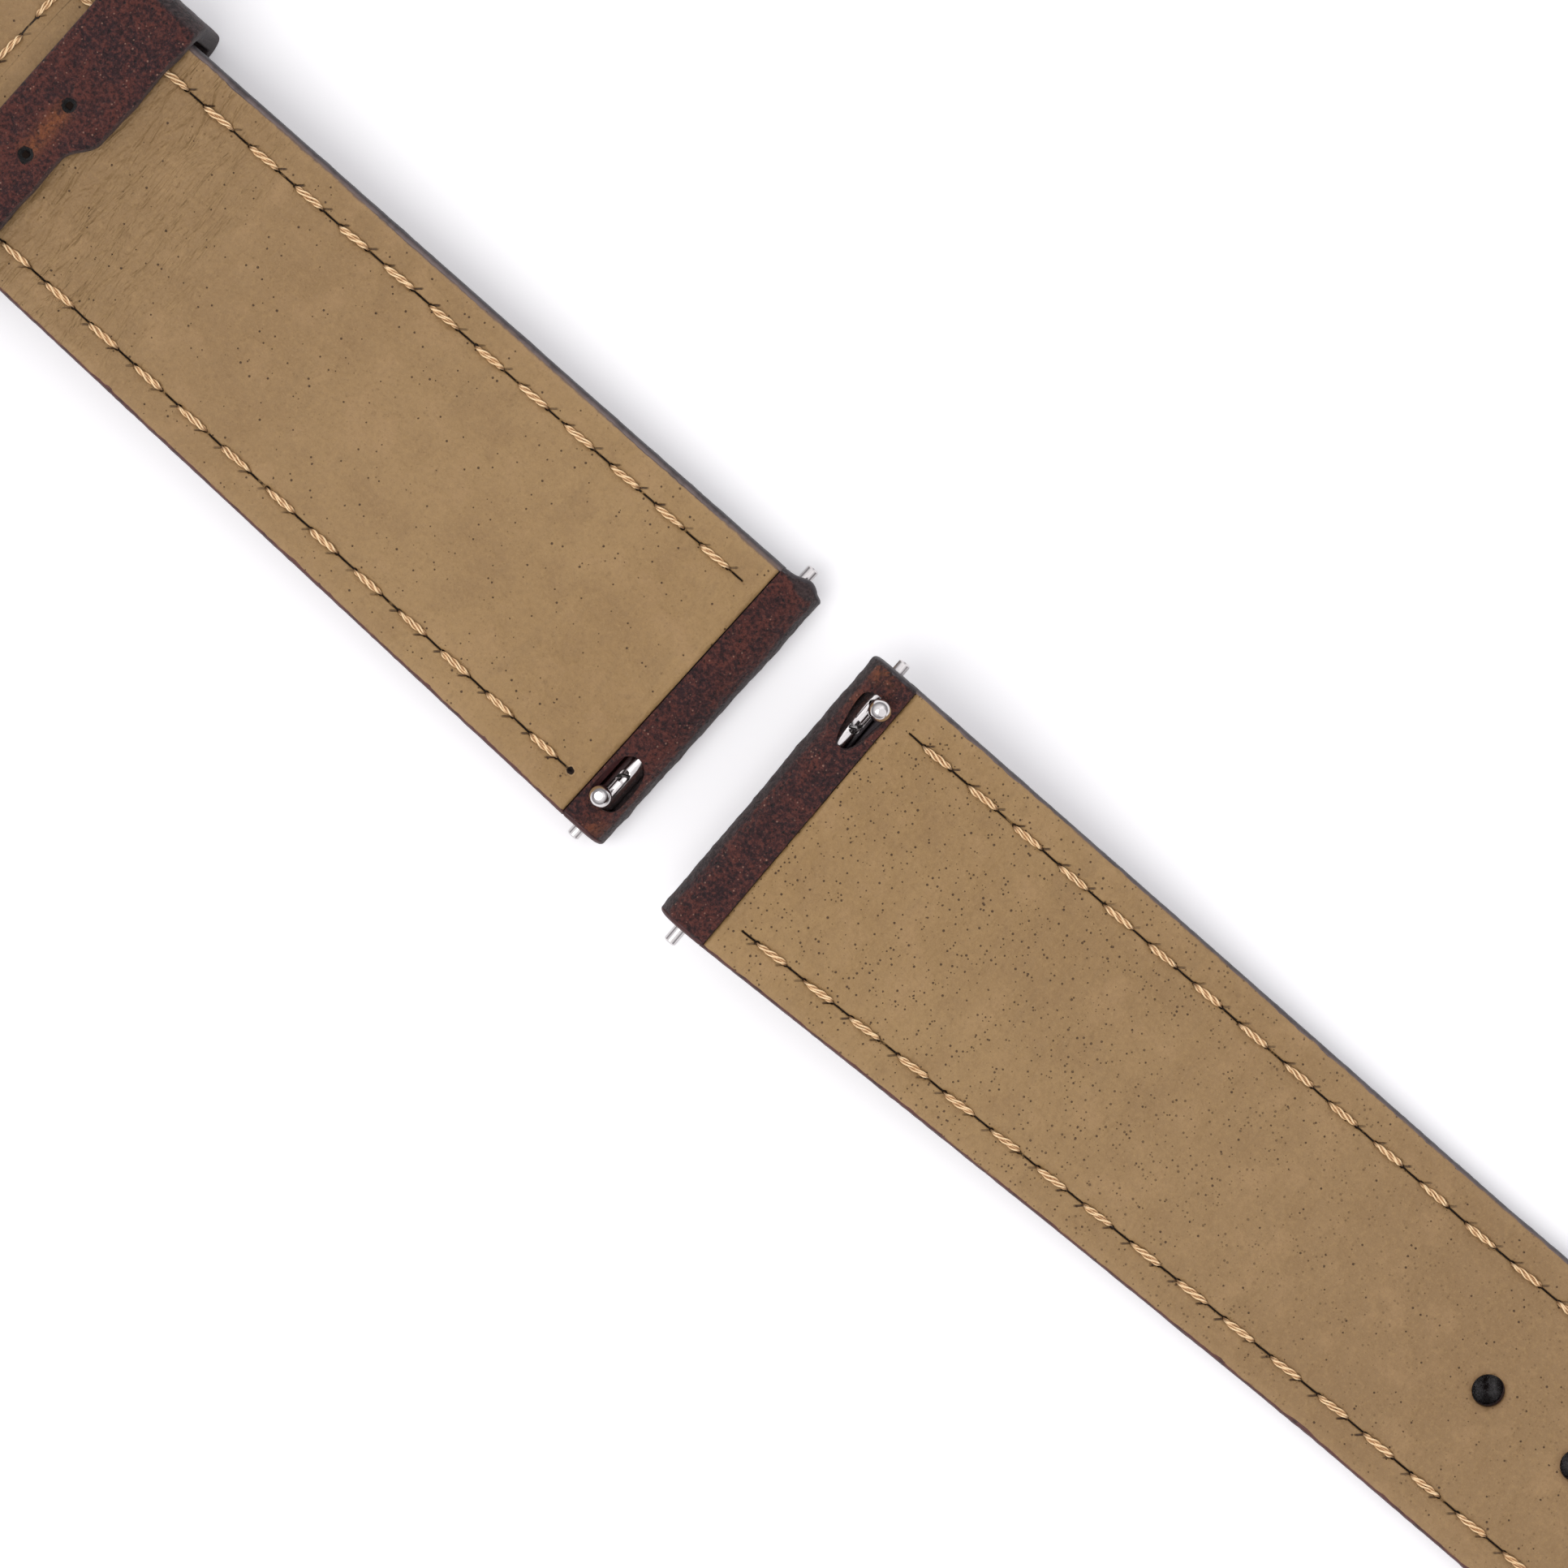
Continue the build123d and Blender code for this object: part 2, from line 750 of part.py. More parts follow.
def buckle_frame():
    """Frame in its own frame: the bar's axis along y through the origin, x away from the strap."""
    arm = buckle_thickness / 2
    side = Circle(buckle_hub_radius)
    bend = crossbar_start / 2
    side += closed_face([
        (0, arm), (bend, arm - buckle_drop / 4), (buckle_reach, arm - buckle_drop),
        (buckle_reach, -arm - buckle_drop), (crossbar_start, -arm - buckle_drop),
        (bend, -arm - buckle_drop / 2), (0, -arm),
    ])
    solid = extrude(Plane.XZ * side, amount=buckle_half_width, both=True)
    plan = Pos((buckle_reach - overrun) / 2, 0) * Rectangle(buckle_reach + overrun, 2 * buckle_half_width)
    plan = fillet(plan.vertices().group_by(Axis.X)[-1], buckle_outer_corner)
    window = Rectangle(crossbar_start + overrun, 2 * buckle_half_opening)
    window = Pos((crossbar_start - overrun) / 2, 0) * window
    window = fillet(window.vertices().group_by(Axis.X)[-1], buckle_inner_corner)
    height = 2 * (buckle_drop + buckle_thickness + overrun)
    solid &= Pos(0, 0, -height / 2) * extrude(plan - window, amount=height)
    front = solid.edges().filter_by(Axis.Y).sort_by(Axis.X)[-2:]
    solid = chamfer(front, buckle_edge_bevel)
    bore = pin_tip_diameter + 2 * pin_tip_clearance
    solid -= cylinder_along_y(bore, -buckle_half_width - overrun, buckle_half_width + overrun)
    notch_width = tongue_width + 2 * notch_clearance
    notch = Box(buckle_bar_width + 2 * overrun, notch_width, notch_depth + overrun, align=hanging)
    return solid - Pos((crossbar_start + buckle_reach) / 2, 0, crossbar_bottom + notch_depth) * notch


def buckle_tongue():
    """Ring round the buckle bar and a finger that lies in the crossbar's notch."""
    bore = barrel_diameter / 2 + tongue_bore_clearance
    ring = bore + tongue_wall
    tip = buckle_reach + tongue_overhang
    knee = crossbar_start - tongue_thickness / 2
    finger = closed_face([
        (0, -bore), (ring, -bore), (knee, finger_top), (tip, finger_top),
        (tip, finger_bottom), (knee, finger_bottom), (0, -ring),
    ])
    finger = fillet(finger.vertices().group_by(Axis.X)[-1], tongue_tip_round)
    side = Circle(ring) + finger - Circle(bore)
    return extrude(Plane.XZ * side, amount=tongue_width / 2, both=True)


def buckle_bar_barrel():
    """Tube between the buckle's arms, with a lip at each end."""
    end = buckle_half_opening - shoulder_gap
    tube = cylinder_along_y(barrel_diameter, -end, end)
    tube -= cylinder_along_y(barrel_bore, barrel_lip - end, end - barrel_lip)
    return tube - cylinder_along_y(pin_tip_diameter + 2 * pin_tip_clearance, -end - overrun, end + overrun)


def buckle_bar_tip():
    """Sprung tip on the bar's +y end."""
    shoulder = buckle_half_opening - barrel_lip - 2 * shoulder_gap
    rod = cylinder_along_y(rod_diameter, shoulder - buckle_tip_shank, shoulder)
    return rod + cylinder_along_y(pin_tip_diameter, shoulder, buckle_half_opening + tip_in_arm)


def buckle_bar_spring():
    end = buckle_half_opening - barrel_lip - 2 * shoulder_gap - buckle_tip_shank - spring_end_gap
    return coil_spring(-end, end, spring_diameter)


def short_half_parts():
    """Every piece of the short half that doesn't move with another, in its own frame."""
    start = strip_width
    end = short_length - strip_width
    width = half_width(short_half, strip_width)
    tail = half_width(short_half, end)
    upper = layer(short_half, upper_section, start, end)
    upper += lug_frame(short_half) * turned_end(lug_radius, upper_leather, width)
    upper += tail_frame() * turned_end(tail_radius, skived_leather, tail)
    filler = layer(short_half, filler_section, start, end)
    filler += lug_frame(short_half) * turned_filler(lug_radius, upper_leather, width)
    filler += tail_frame() * turned_filler(tail_radius, skived_leather, tail)
    lining = layer(short_half, lining_section, start, end)
    lining -= [lug_frame(short_half) * seam_cut(), tail_frame() * seam_cut()]
    upper -= [release_window(short_half), tongue_slot(), fixed_keeper_seat()]
    filler -= [release_window(short_half), tongue_slot(), fixed_keeper_seat()]
    lining -= tongue_slot()
    parts = {}
    for name, hand in (("left", 1), ("right", -1)):
        top, top_groove = short_side_rows(1, hand)
        bottom, bottom_groove = short_side_rows(-1, hand)
        lining -= top_groove
        upper -= bottom_groove
        parts["short_thread_" + name] = group_of(top, bottom)
    crossings = []
    for place in cross_row_places:
        top, top_groove = cross_row(place, 1)
        bottom, bottom_groove = cross_row(place, -1)
        lining -= top_groove
        upper -= bottom_groove
        crossings += [top, bottom]
    parts["short_thread_cross"] = group_of(*crossings)
    parts["short_upper"] = upper
    parts["short_filler"] = filler
    parts["short_lining"] = lining
    parts["fixed_keeper"] = fixed_keeper()
    parts["floating_keeper"], parts["keeper_staple"] = floating_keeper_parts()
    for name, shape in release_bar_parts(short_half).items():
        parts["short_" + name] = shape
    return parts


def long_half_parts():
    """Every piece of the long half, in its own frame."""
    width = half_width(long_half, strip_width)
    upper = layer(long_half, upper_section, strip_width, long_length)
    upper += lug_frame(long_half) * turned_end(lug_radius, upper_leather, width)
    filler = layer(long_half, filler_section, strip_width, pad_length)
    filler += lug_frame(long_half) * turned_filler(lug_radius, upper_leather, width)
    lining = layer(long_half, lining_section, strip_width, pad_length)
    lining += layer(long_half, backed_lining_section, pad_length, long_length)
    lining -= lug_frame(long_half) * seam_cut()
    cuts = [tip_waste()] + adjustment_holes()
    upper -= cuts + [release_window(long_half)]
    filler -= release_window(long_half)
    lining -= cuts
    parts = {}
    for name, hand in (("left", 1), ("right", -1)):
        top, top_groove = long_side_rows(1, hand)
        bottom, bottom_groove = long_side_rows(-1, hand)
        lining -= top_groove
        upper -= bottom_groove
        parts["long_thread_" + name] = group_of(top, bottom)
    top, top_groove = tip_row(1)
    bottom, bottom_groove = tip_row(-1)
    lining -= top_groove
    upper -= bottom_groove
    parts["long_thread_tip"] = group_of(top, bottom)
    parts["long_upper"] = upper
    parts["long_filler"] = filler
    parts["long_lining"] = lining
    for name, shape in release_bar_parts(long_half).items():
        parts["long_" + name] = shape
    return parts


def buckle_parts():
    """Buckle, tongue and spring bar, with the bar's axis along y through the origin."""
    tip = buckle_bar_tip()
    return {
        "buckle_frame": buckle_frame(),
        "buckle_tongue": buckle_tongue(),
        "buckle_bar_barrel": buckle_bar_barrel(),
        "buckle_bar_tip_left": tip,
        "buckle_bar_tip_right": mirror(tip, about=Plane.XZ),
        "buckle_bar_spring": buckle_bar_spring(),
    }


def strap_tilt():
    """Angle that the short half leans at, on its lug end and the floating keeper, in degrees."""
    run = floating_keeper_start - lug_radius
    fall = keeper_floor - lug_radius
    return math.degrees(math.atan2(fall, run) - math.asin(lug_radius / math.hypot(run, fall)))


def short_frame():
    """Where the short half lies on the floor."""
    tilt = math.radians(strap_tilt())
    height = lug_radius * (1 + math.cos(tilt) - math.sin(tilt))
    return Pos(-lug_gap, 0, height) * Rot(0, 0, 180 - lay_angle) * Rot(0, -strap_tilt(), 0)


def long_frame():
    """Where the long half lies on the floor, on its outer stitches."""
    height = margin_thickness + thread_proud
    return Pos(-side_point(long_half, 0, 0)[0], lateral_offset, height)


def buckle_fall():
    """Angle that the buckle falls by about its bar until the tongue's tip is on the floor."""
    axis_height = (short_frame() * buckle_axis_frame()).position.Z
    reach = buckle_reach + tongue_overhang - tongue_tip_round
    distance = math.hypot(reach, finger_bottom)
    return strap_tilt() + math.degrees(math.atan2(finger_bottom, reach) + math.asin(axis_height / distance))


def buckle_frame_place():
    return short_frame() * buckle_axis_frame() * Rot(0, buckle_fall(), 0)


def assembled_parts():
    """Every piece where it lies, before the origin is set."""
    parts = {name: short_frame() * shape for name, shape in short_half_parts().items()}
    parts.update({name: buckle_frame_place() * shape for name, shape in buckle_parts().items()})
    parts.update({name: long_frame() * shape for name, shape in long_half_parts().items()})
    return parts


def origin_shift(parts):
    """Move that brings the middle of the whole strap's floor area to the origin."""
    box = group_of(*parts.values()).bounding_box()
    return Pos(-box.center().X, -box.center().Y, 0)


if __name__ == "__main__":
    strap = assembled_parts()
    shift = origin_shift(strap)
    for name, shape in strap.items():
        export_step(shift * shape, "parts/" + name + ".step")
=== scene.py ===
import math

import bmesh
import bpy
import numpy as np
from mathutils import Matrix, Vector
from mathutils.kdtree import KDTree


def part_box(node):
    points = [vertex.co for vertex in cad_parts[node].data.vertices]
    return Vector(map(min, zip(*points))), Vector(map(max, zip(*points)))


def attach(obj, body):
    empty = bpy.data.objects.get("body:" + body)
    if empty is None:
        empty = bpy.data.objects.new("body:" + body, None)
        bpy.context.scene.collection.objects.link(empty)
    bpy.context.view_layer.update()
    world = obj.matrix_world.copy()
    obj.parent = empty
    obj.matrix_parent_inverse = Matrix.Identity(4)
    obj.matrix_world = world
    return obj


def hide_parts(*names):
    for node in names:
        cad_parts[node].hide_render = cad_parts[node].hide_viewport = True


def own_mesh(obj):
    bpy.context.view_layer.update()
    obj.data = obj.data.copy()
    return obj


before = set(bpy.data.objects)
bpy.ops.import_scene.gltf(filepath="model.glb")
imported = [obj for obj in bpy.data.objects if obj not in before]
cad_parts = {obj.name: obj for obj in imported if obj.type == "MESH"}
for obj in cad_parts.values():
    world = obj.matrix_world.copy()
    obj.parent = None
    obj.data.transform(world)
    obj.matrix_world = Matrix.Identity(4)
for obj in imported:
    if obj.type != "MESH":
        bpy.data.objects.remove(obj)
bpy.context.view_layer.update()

# Looks of a two-piece leather watch strap. Sizes are in millimetres until a mesh is made.
# Each half is drawn in its own frame, as in the part's source: s along the strap from the lug end,
# y across, n up from the lining face.

MM = 0.001

# Strap, as in the part's source
LUG_WIDTH = 20.0
TAIL_WIDTH = 18.0
UPPER_LEATHER = 0.85
SKIVED_LEATHER = 0.6
LINING_LEATHER = 0.85
BODY_THICKNESS = 2.4
MARGIN_THICKNESS = 1.85
MARGIN_WIDTH = 2.9
CROWN_FLAT_SHARE = 0.45
SHOULDER_WIDTH = 1.6
STRIP_WIDTH = 3.05
SEAM_GAP = 0.08
LINING_START = STRIP_WIDTH + SEAM_GAP
EDGE_BLEND_LENGTH = 14.0
PAD_LENGTH = 50.0
SHORT_LENGTH = 75.0
TAIL_ROLL_LENGTH = 9.0
LAY_ANGLE = 2.0
LONG_LENGTH = 120.0
LONG_TAPER_LENGTH = 50.0
CURL_RADIUS = 220.0
TIP_RADIUS = 24.0
TIP_LEAD = 4.0
TIP_ROUND = 4.0
HOLE_COUNT = 7
HOLE_DIAMETER = 2.0
HOLE_PITCH = 6.85
FIRST_HOLE = 56.2
LUG_GAP = 5.35
LATERAL_OFFSET = -0.26
THREAD_PROUD = 0.12
LUG_RADIUS = 1.7
TAIL_RADIUS = 1.45
TUNNEL_RADIUS = 0.85
TONGUE_SLOT_LENGTH = 4.4
TONGUE_SLOT_WIDTH = 3.0
WINDOW_LENGTH = 3.8
WINDOW_PLACE = 6.32
WINDOW_SHIFT = 0.04
OVAL_HALF_WIDTH = 1.1
LENS_HALF_WIDTH = 1.16
KEEPER_LEATHER = 1.1
KEEPER_SIDE_CLEARANCE = 0.36
KEEPER_TOP_CLEARANCE = 0.25
KEEPER_OPENING = 5.2
FLOATING_KEEPER_START = 50.2
FLOATING_KEEPER_WIDTH = 5.9
LAP_STEP = 1.2
LAP_STEP_PLACE = -0.2
LAP_STEP_LENGTH = 2.6
STAPLE_HALF_SPAN = 1.98
STAPLE_SHIFT = -0.22
STAPLE_PLACE = 2.9
FIXED_KEEPER_START = 60.6
FIXED_KEEPER_WIDTH = 5.5
FIXED_KEEPER_SIDE_GAP = 0.2
FIXED_KEEPER_SEWN_LEATHER = 0.5
CROSS_ROW_PLACES = (58.3, 68.4)

# Stitching
ROW_INSET = 2.25
ROW_START = 5.55
STITCH_PITCH = 3.6
STITCH_LENGTH = 2.1
SHORT_STITCHES = 18
LONG_STITCHES = 28
TIP_STARTS = (106.5, 110.1, 113.7)
CROSS_STITCHES = 4
CROSS_ROW_REACH = ((CROSS_STITCHES - 1) * STITCH_PITCH + STITCH_LENGTH) / 2
STRAND_RADIUS = 0.062
STRANDS_IN_PLY = 2
STRAND_SIDES = 8
PLY_TURNS = 1.7
PLY_SPACING = 0.085
PLY_HEIGHT = 0.03
STITCH_DIVE = 0.3
BETWEEN_STITCHES = (STITCH_LENGTH + STITCH_PITCH) / 2
RING_ANGLES = np.arange(STRAND_SIDES) * 2 * math.pi / STRAND_SIDES
ROW_OVERRUN = 0.4  # left of the last pitch behind a row's last stitch

# Relief in the leather
SLIT_DEPTH = 0.2
TROUGH_DEPTH = 0.1
DIMPLE_DEPTH = 0.24
PULL_DEPTH = 0.03
SEAM_GROOVE = 0.1
HOLE_RIM_DEPTH = 0.13
PIT_LEAD = 1.15
PIT_RADIUS = 0.27
PIT_DEPTH = 0.3
LINING_STEP = 0.14
CORNER_SWELL = 0.46
CORNER_NOTCH = 0.12
STAPLE_DENT = 0.6
CRACK_ALONG = 0.75
CRACK_ACROSS = 0.66
WRINKLE_PLACE = 46
WRINKLE_REACH = 6

# Spring bars
PLUNGER_TRAVEL = 1.8
BUCKLE_TIP_TRAVEL = 1.2

# Soft looks
LINING_EDGE_ROUND = 0.3
UPPER_EDGE_ROUND = 0.3
PAINT_PROUD = 0.03
PAINT_LIFT = 0.014
LAP_REACH = 0.18
WIDE_LAP_REACH = 0.36
BAND_DEPTH = 0.36
BAND_INSIDE = 0.4
SLOT_EASE = 0.06
EDGE_STRIP = 3.3
ROW_STEP = 0.22
FOLD_STEP = 0.1
INSETS = (0, .02, .06, .12, .2, .3, .5, .8, 1.15, 1.5, 1.8, 1.98, 2.08, 2.14, 2.18, 2.215, 2.25,
          2.285, 2.32, 2.36, 2.42, 2.52, 2.7, 2.95, EDGE_STRIP)
MIDDLE_COLUMNS = 15
OUTER_STEP = 0.32
FAR = 99
TAIL_FOLD_STEP = 0.16
HOLE_SEGMENTS = 40

# Cuts: how often one is tried, how far its cutter moves each time, and how many open edges it may leave
CUT_ATTEMPTS = 8
CUT_NUDGE = 0.004
CUT_SLACK = 50

# Studio
ROOM_LIGHT = (0.76, 0.755, 0.77, 1)
MIRRORED_ROOM = ((0.3, (0.3, 0.29, 0.3, 1)), (0.75, (1.0, 0.985, 1.0, 1)))
FLOOR_LIFT = 0.17
FLOOR_LEVEL = -0.03
FLOOR_REACH = 1500
SENSOR_WIDTH = 36
CAMERA_LENS = 106.26
CAMERA_PLACE = (1.09, 12.0, 280.0)
CAMERA_TURN = (-0.156, 3.999, 40.302)
LAMP_AIM = (-10, 0, 0)
LAMPS = (
    # name, place, size, power, colour
    ("key", (-40, -140, 320), 240, 0.42, (1.0, 0.99, 0.975)),
    ("fill", (60, 170, 300), 320, 0.1, (0.97, 0.975, 1.0)),
)


def ease(start, end, share):
    """Smooth change from start to end while the share goes from 0 to 1."""
    share = np.clip(share, 0, 1)
    return start + (end - start) * share * share * (3 - 2 * share)


class Half:
    """One strap half: its length, its taper, its curl, and where it lies."""

    def __init__(self, name, length, taper_length, curl, turned_tail, stitches):
        self.name = name
        self.length = length
        self.taper_length = taper_length
        self.curl = curl
        self.turned_tail = turned_tail
        self.stitches = stitches
        self.matrix = Matrix.Identity(4)


SHORT = Half("short", SHORT_LENGTH, SHORT_LENGTH, 0, True, SHORT_STITCHES)
LONG = Half("long", LONG_LENGTH, LONG_TAPER_LENGTH, PAD_LENGTH, False, LONG_STITCHES)


def half_width(half, s):
    """Half the strap's width at a place, held where the lug end is turned."""
    share = np.clip(np.maximum(s, STRIP_WIDTH) / half.taper_length, 0, 1)
    return (LUG_WIDTH + (TAIL_WIDTH - LUG_WIDTH) * share) / 2


def tail_share(half, s):
    """How far a place lies into the short half's tail, where it thins to the buckle's fold."""
    if not half.turned_tail:
        return s * 0
    return (s - (half.length - TAIL_ROLL_LENGTH)) / (TAIL_ROLL_LENGTH - STRIP_WIDTH)


def centre_thickness(half, s):
    """Thickness along the strap's middle line, from the padded lug end to the tail."""
    body = BODY_THICKNESS if half.turned_tail else MARGIN_THICKNESS
    pad = ease(2 * LUG_RADIUS, body, (s - STRIP_WIDTH) / (PAD_LENGTH - STRIP_WIDTH))
    return ease(pad, 2 * TAIL_RADIUS, tail_share(half, s))


def edge_thickness(half, s):
    """Thickness along the strap's sides."""
    edge = ease(2 * LUG_RADIUS, MARGIN_THICKNESS, (s - STRIP_WIDTH) / EDGE_BLEND_LENGTH)
    return ease(edge, 2 * TAIL_RADIUS, tail_share(half, s))


def upper_thickness(half, s):
    """Thickness of the upper leather, thinned at the tail."""
    return ease(UPPER_LEATHER, SKIVED_LEATHER, tail_share(half, s))


def outer_depth(half, s, y):
    """Depth of the outer face below the lining face, flat along the sides and padded between."""
    margin = half_width(half, s) - MARGIN_WIDTH
    flat = CROWN_FLAT_SHARE * (margin - SHOULDER_WIDTH)
    share = np.clip((margin - np.abs(y)) / (margin - flat), 0, 1)
    edge = edge_thickness(half, s)
    return edge + (centre_thickness(half, s) - edge) * (1 - (1 - share) ** 3.2)


def side_point(half, s, n):
    """Side view of the place s along the lining face and n above it, straight before the fold."""
    held = np.maximum(s, STRIP_WIDTH)
    turn = np.maximum(half.curl - held, 0) / CURL_RADIUS
    bent = half.curl - CURL_RADIUS * np.sin(turn)
    x = np.where(turn > 0, bent, held) + n * np.sin(turn)
    z = CURL_RADIUS * (1 - np.cos(turn)) + n * np.cos(turn)
    return x - (held - s) * np.cos(turn), z + (held - s) * np.sin(turn)


def laid(half, s, y, n):
    """Points in the row frame, in millimetres, from places on a half."""
    s, y, n = np.broadcast_arrays(s, y, n)
    x, z = side_point(half, s, n)
    points = np.stack([x, y, z], axis=-1)
    matrix = np.array(half.matrix)
    return points @ matrix[:3, :3].T + matrix[:3, 3]


def strap_tilt():
    """Angle that the short half leans at, on its lug end and the floating keeper."""
    run = FLOATING_KEEPER_START - LUG_RADIUS
    fall = KEEPER_OPENING + KEEPER_LEATHER - LUG_RADIUS
    return math.atan2(fall, run) - math.asin(LUG_RADIUS / math.hypot(run, fall))


def lay_halves():
    """Puts both halves where the CAD has them, going by the release bars."""
    tilt = strap_tilt()
    height = LUG_RADIUS * (1 + math.cos(tilt) - math.sin(tilt))
    turn = Matrix.Rotation(math.radians(180 - LAY_ANGLE), 4, "Z") @ Matrix.Rotation(-tilt, 4, "Y")
    SHORT.matrix = Matrix.Translation((-LUG_GAP, 0, height)) @ turn
    start = side_point(LONG, 0.0, 0.0)[0]
    LONG.matrix = Matrix.Translation((-start, LATERAL_OFFSET, MARGIN_THICKNESS + THREAD_PROUD))
    low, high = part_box("long_bar_barrel")
    middle = (low + high) / 2 / MM
    bar = laid(LONG, LUG_RADIUS, 0.0, -LUG_RADIUS)
    shift = Matrix.Translation((middle.x - bar[0], middle.y - bar[1], 0))
    SHORT.matrix = shift @ SHORT.matrix
    LONG.matrix = shift @ LONG.matrix


lay_halves()


def rough(seed, *waves):
    """Smooth random relief: sums of sines whose wavelengths are near the ones given."""
    draw = np.random.default_rng(seed)
    terms = []
    for length, height in waves:
        for _ in range(5):
            angle = draw.uniform(0, 2 * math.pi)
            size = length * draw.uniform(0.7, 1.4)
            pull = (2 * math.pi / size * math.cos(angle), 2 * math.pi / size * math.sin(angle))
            terms.append((pull, draw.uniform(0, 2 * math.pi), height * 0.4))

    def relief(a, b):
        return sum(h * np.sin(p[0] * a + p[1] * b + phase) for p, phase, h in terms)

    return relief


# Plans


class Plan:
    """Rows of places across a half: where each lies, its inset from the side, and its run along the row."""

    def __init__(self, s, y, inset, run):
        self.s = s
        self.y = y
        self.inset = inset
        self.run = run
        self.hand = np.sign(y)


def tip_outline(step):
    """Places and inward normals round one side of the long half's tip."""
    depth = math.sqrt(TIP_RADIUS ** 2 - TIP_LEAD ** 2) - TAIL_WIDTH / 2
    start = LONG_LENGTH - math.sqrt(TIP_RADIUS ** 2 - depth ** 2) + TIP_LEAD
    centre = start - TIP_LEAD
    point = centre + math.sqrt((TIP_RADIUS - TIP_ROUND) ** 2 - depth ** 2)
    first = math.acos(TIP_LEAD / TIP_RADIUS)
    last = math.atan2(depth, point - centre)
    arc = np.linspace(first, last, round(TIP_RADIUS * (first - last) / step))
    nose = np.linspace(last, 0, round(TIP_ROUND * last / step * 1.5) + 1)[1:]
    angle = np.concatenate([arc, nose])
    radius = np.concatenate([arc * 0 + TIP_RADIUS, nose * 0 + TIP_ROUND])
    origin = np.concatenate([arc * 0 + centre, nose * 0 + point])
    drop = np.concatenate([arc * 0 + depth, nose * 0])
    s = origin + radius * np.cos(angle)
    y = radius * np.sin(angle) - drop
    return start, s, y, -np.cos(angle), -np.sin(angle)


def side_outline(half, start, end, step):
    """Places along one side of a half, with inward normals, round the tip if there is one."""
    if half.turned_tail:
        s = np.linspace(start, end, round((end - start) / step) + 1)
        return s, half_width(half, s), s * 0, s * 0 - 1
    tip_start, tip_s, tip_y, tip_a, tip_b = tip_outline(step)
    s = np.linspace(start, tip_start, round((tip_start - start) / step) + 1)[:-1]
    lean = ease(0, math.asin(TIP_LEAD / TIP_RADIUS), (s - tip_start + 2 * TIP_LEAD) / (2 * TIP_LEAD))
    return (np.concatenate([s, tip_s]), np.concatenate([half_width(half, s), tip_y]),
            np.concatenate([-np.sin(lean), tip_a]), np.concatenate([-np.cos(lean), tip_b]))


def run_of(s, y):
    """Distance along a line, starting at its first place's s."""
    return s[0] + np.concatenate([[0], np.cumsum(np.hypot(np.diff(s), np.diff(y)))])


def plan_of(outline, middle=MIDDLE_COLUMNS, insets=INSETS):
    """Grid of places across a half: along insets from both sides, and between them in a number of
    columns or at given shares of the width."""
    s, y, a, b = outline
    inset = np.array(insets)
    side_s = s[:, None] + a[:, None] * inset
    side_y = y[:, None] + b[:, None] * inset
    side_y[-1] = np.maximum(side_y[-1], 0)
    share = np.linspace(1, -1, 2 * middle + 1)[1:-1] if np.ndim(middle) == 0 else middle
    inner_s = side_s[:, -1:] + share * 0
    inner_y = side_y[:, -1:] * share
    run = run_of(s + a * ROW_INSET, y + b * ROW_INSET)
    all_s = np.concatenate([side_s, inner_s, side_s[:, ::-1]], axis=1)
    all_y = np.concatenate([side_y, inner_y, -side_y[:, ::-1]], axis=1)
    depth = np.broadcast_to(inset, side_s.shape)
    inner_inset = EDGE_STRIP + side_y[:, -1:] * (1 - np.abs(share))
    all_inset = np.concatenate([depth, inner_inset, depth[:, ::-1]], axis=1)
    return Plan(all_s, all_y, all_inset, np.broadcast_to(run[:, None], all_s.shape))


def round_over(inset, radius):
    """Drop of a rounded edge at an inset from the side."""
    left = np.clip(radius - inset, 0, radius)
    return radius - np.sqrt(radius ** 2 - left ** 2)


def seam_relief(run, off_row, first, count):
    """Depth that a row of stitches presses in: a trough, slits between stitches and a dimple at each end."""
    index = np.floor((run - first) / STITCH_PITCH)
    place = run - first - index * STITCH_PITCH
    in_row = (run > first - 1.2) & (run < first + count * STITCH_PITCH - ROW_OVERRUN)
    slit = ease(1, 0, (np.abs(place - BETWEEN_STITCHES) - 0.55) / 0.2) * np.exp(-(off_row / 0.06) ** 2)
    trough = ease(1, 0, (np.abs(place - STITCH_LENGTH / 2) - STITCH_LENGTH / 2 + 0.15) / 0.2)
    ends = np.minimum(np.abs(place - 0.02), np.abs(place - STITCH_LENGTH + 0.02))
    ends = np.minimum(ends, np.abs(place - STITCH_PITCH))
    dimple = np.exp(-(np.hypot(ends, off_row) / 0.17) ** 2)
    pressed = np.exp(-(off_row / 0.26) ** 2)
    pulled = np.exp(-(off_row / 0.6) ** 2)
    depth = SLIT_DEPTH * slit + TROUGH_DEPTH * trough * pressed + DIMPLE_DEPTH * dimple + PULL_DEPTH * pulled
    return np.where(in_row, depth, 0)


def is_sewn(half, run):
    """Whether a side row gets that far: the short half's stop before its tail."""
    return (run < ROW_START + half.stitches * STITCH_PITCH - ROW_OVERRUN) | (not half.turned_tail)


# Meshes


def new_piece(name, points, faces, material, smooth=True):
    """Mesh object from points in millimetres."""
    mesh = bpy.data.meshes.new(name)
    mesh.from_pydata((np.asarray(points).reshape(-1, 3) * MM).tolist(), [], faces)
    mesh.validate()
    obj = bpy.data.objects.new(name, mesh)
    bpy.context.scene.collection.objects.link(obj)
    if material:
        mesh.materials.append(material)
    if smooth:
        mesh.shade_smooth()
    return obj


